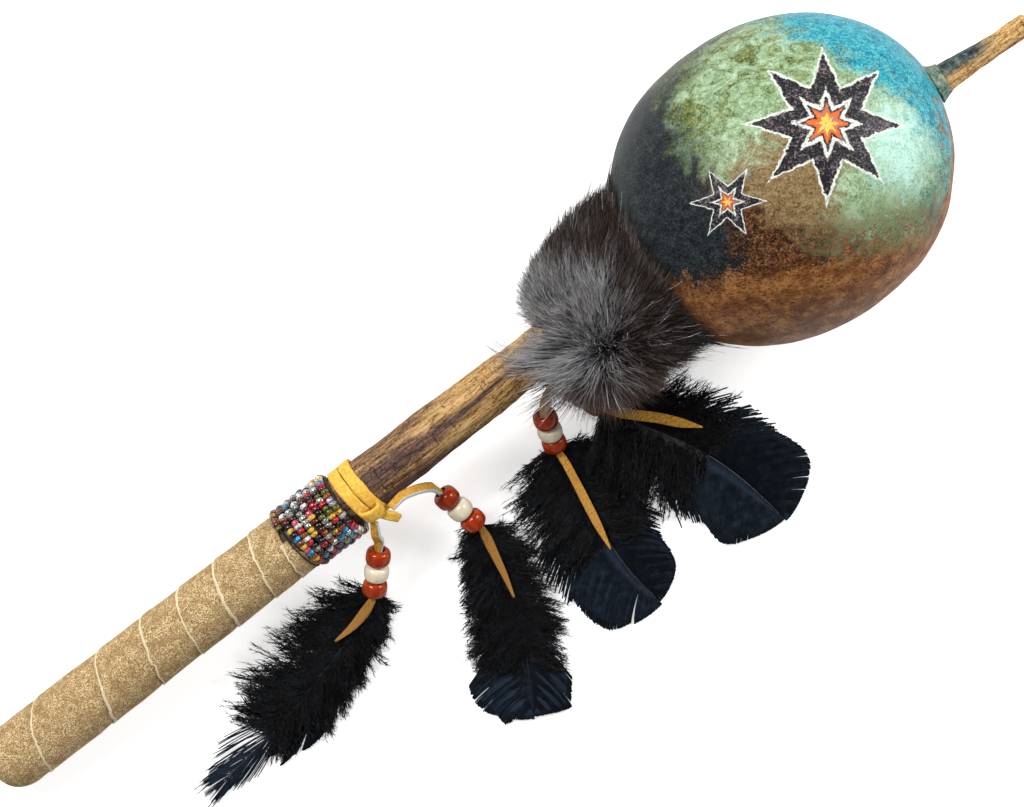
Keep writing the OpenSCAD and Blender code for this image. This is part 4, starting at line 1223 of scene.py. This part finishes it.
def fur_piece(name, material, count, knots, lengths, radius, stray, gather, seed):
    rng = np.random.default_rng(seed)
    paths, tone = hairs(count, knots, lengths, stray, gather, rng)
    if material.name == "guard_hair":
        tone = rng.uniform(0, 1, len(paths))
    u = np.linspace(0, 1, knots)
    radii = radius * (1 - 0.8 * u**2)
    points, faces = sweep(on_gourd(paths), UP + 0.017, circle(3), radii, radii)
    points[:, 2] = np.maximum(points[:, 2], TABLE_GAP)
    piece(name, points, faces, [material], "fur",
          values={"along": np.repeat(np.tile(u, len(paths)), 3), "tone": np.repeat(tone, knots * 3)})


def make_fur(fur, guard, hide):
    a = np.radians(np.linspace(33, 147, 40))
    outer = np.stack([FUR_CENTRE[0] - FUR_CORE[0] * np.cos(a), FUR_CORE[1] * np.sin(a)], -1)
    inner = [[outer[-1, 0], HIDE_BORE_R], [outer[0, 0], HIDE_BORE_R]]
    points, faces = turned(np.concatenate([outer, inner]), 90)
    piece("fur_hide", on_gourd(outside_gourd(points)), faces, [hide], "fur", ["fur_collar"])
    for k in range(FUR_PIECES):
        fur_piece(f"fur_under_{k + 1}", fur, count=6000, knots=5, lengths=(13, 20), radius=0.14, stray=0.24,
                  gather=0.55, seed=70 + k)
    fur_piece("fur_guard", guard, count=3400, knots=6, lengths=(18, 25), radius=0.16, stray=0.34, gather=0.2, seed=80)


# Glue and pebbles
GLUE_FILLET = np.array([[-1, 5], [-0.9, 7.8], [-0.1, 7.2], [0.6, 6.7], [1.4, 6.35], [2.4, 6.1], [3.6, 5.9], [3.6, 5]])


def glue_look(name, *shades):
    return grained_look(name, 0.5, (1.5, 5, 0.6), (0.36, 0.5, 0.64), *shades, depth=0.2)


def make_glue(painted, plain):
    shape, faces = turned(GLUE_FILLET + [GOURD_HALF - GOURD_FLAT, 0], 72)
    out_of_round(shape, 0.03, 5, 89)
    piece("tip_glue", on_gourd(shape), faces, [painted], "glue", ["tip_glue_ring"])
    node = frame["nodes"]["neck_glue_ring"]
    node.data.materials.clear()
    node.data.materials.append(plain)


def make_pebbles(stone):
    a = np.linspace(0.02, math.pi - 0.02, 16)
    ball = np.stack([-np.cos(a), np.sin(a)], -1)
    for i in range(1, PEBBLES + 1):
        low, high = (np.array(c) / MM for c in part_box(f"pebble_{i}"))
        shape, faces = turned(ball, 24)
        size = (high - low).mean() / 2 * (0.9 + 0.08 * lumps(shape, 2.2, 90 + i))
        piece(f"pebble_stone_{i}", (low + high) / 2 + shape * size[:, None] * [1, 0.94, 0.88], faces, [stone],
              "pebble_stone", [f"pebble_{i}"], f"pebble_{i}")


# Floor and light, whose lengths are in metres
FLOOR_HALF = 3.0
FLOOR_GLOW = 0.62
WORLD_LIGHT = 0.22


def make_stage():
    mesh = bpy.data.meshes.new("floor")
    corners = [(-FLOOR_HALF, -FLOOR_HALF, 0), (FLOOR_HALF, -FLOOR_HALF, 0),
               (FLOOR_HALF, FLOOR_HALF, 0), (-FLOOR_HALF, FLOOR_HALF, 0)]
    mesh.from_pydata(corners, [], [(0, 1, 2, 3)])
    look = Look("floor", Roughness=0.9, Base_Color=(0.9, 0.9, 0.9, 1))
    seen = look.put("ShaderNodeLightPath").outputs
    sight = look.math("MAXIMUM", seen["Is Camera Ray"], seen["Is Transmission Ray"])
    glow = look.put("ShaderNodeEmission", {"Strength": look.times(sight, FLOOR_GLOW)}).outputs[0]
    both = look.put("ShaderNodeAddShader", {0: look.shader.outputs[0], 1: glow}).outputs[0]
    look.tree.links.new(both, look.tree.nodes["Material Output"].inputs["Surface"])
    mesh.materials.append(look.material)
    put_in_scene("floor", mesh)


def make_lamp(name, place, aim, size, power):
    data = bpy.data.lights.new(name, "AREA")
    data.shape = "DISK"
    data.size = size
    data.energy = power
    z = unit(np.array(place) - np.array(aim))
    x = unit(np.cross(UP + 0.001, z))
    turn = Matrix(np.array([x, np.cross(z, x), z]).T.tolist()).to_4x4()
    put_in_scene(name, data).matrix_world = Matrix.Translation(place) @ turn


def make_light():
    world = bpy.data.worlds.new("world")
    bpy.context.scene.world = world
    world.use_nodes = True
    tree = world.node_tree
    back = tree.nodes["Background"]
    back.inputs["Color"].default_value = (1, 1, 1, 1)
    strength = tree.nodes.new("ShaderNodeMapRange")
    strength.inputs["To Min"].default_value = WORLD_LIGHT
    strength.inputs["To Max"].default_value = 1.0
    tree.links.new(tree.nodes.new("ShaderNodeLightPath").outputs["Is Camera Ray"], strength.inputs["Value"])
    tree.links.new(strength.outputs["Result"], back.inputs["Strength"])
    make_lamp("key", (-0.35, 0.75, 1.1), aim=(0, 0, 0.03), size=0.6, power=17)
    make_lamp("side", (0.85, -0.1, 0.6), aim=(0.1, 0, 0.04), size=0.35, power=6)


bpy.context.scene.view_settings.view_transform = "Standard"
make_camera()
edge = cut_edge_look("cut_edge", (178, 196, 200), (210, 222, 222), (238, 242, 240))
laces = make_laces(deerskin_look(), edge)
beads = make_beads(crow_look("crow_red", (116, 26, 6), (128, 32, 6), (160, 48, 8), (190, 70, 16)),
                   crow_look("crow_ivory", (214, 196, 158), (222, 206, 172), (236, 224, 196), (244, 236, 214)))
quill = grained_look("feather_quill", 0.35, (8, 3), (0.3, 0.7), (14, 16, 20), (42, 46, 54))
feathers = make_feathers(feather_look(), down_look(), quill)
skin = [smooth_deerskin_look(), edge]
for name, lace in (("lower", LOWER_LACE), ("upper", UPPER_LACE)):
    make_turns(name, lace, skin)
    make_knot(name, lace, skin)
make_flap(skin)
make_gourd(gourd_look())
make_stick(wood_look())
suede = suede_look()
make_grip_strip(suede, cut_edge_look("suede_edge", (214, 192, 146), (236, 220, 180), (250, 242, 216)))
make_butt_cover(suede)
make_seeds()
make_bead_thread(grained_look("bead_thread", 0.6, (0.6, 3), (0.3, 0.7), (12, 12, 12), (36, 32, 30)))
make_backing(grained_look("band_leather", 0.6, (1.2, 6, 0.65), (0.3, 0.6, 0.8),
                          (24, 18, 16), (58, 44, 38), (104, 88, 80), depth=0.15))
make_fur(fur_look(), guard_look(), hide_look())
make_glue(glue_look("painted_glue", (40, 58, 56), (92, 122, 108), (146, 148, 112)),
          glue_look("glue", (74, 58, 42), (132, 104, 70), (168, 146, 110)))
make_pebbles(grained_look("pebble_stone", 0.6, (1.4, 6, 0.6), (0.3, 0.6, 0.8),
                          (78, 78, 82), (128, 124, 118), (168, 160, 150), depth=0.15))
make_stage()
make_light()
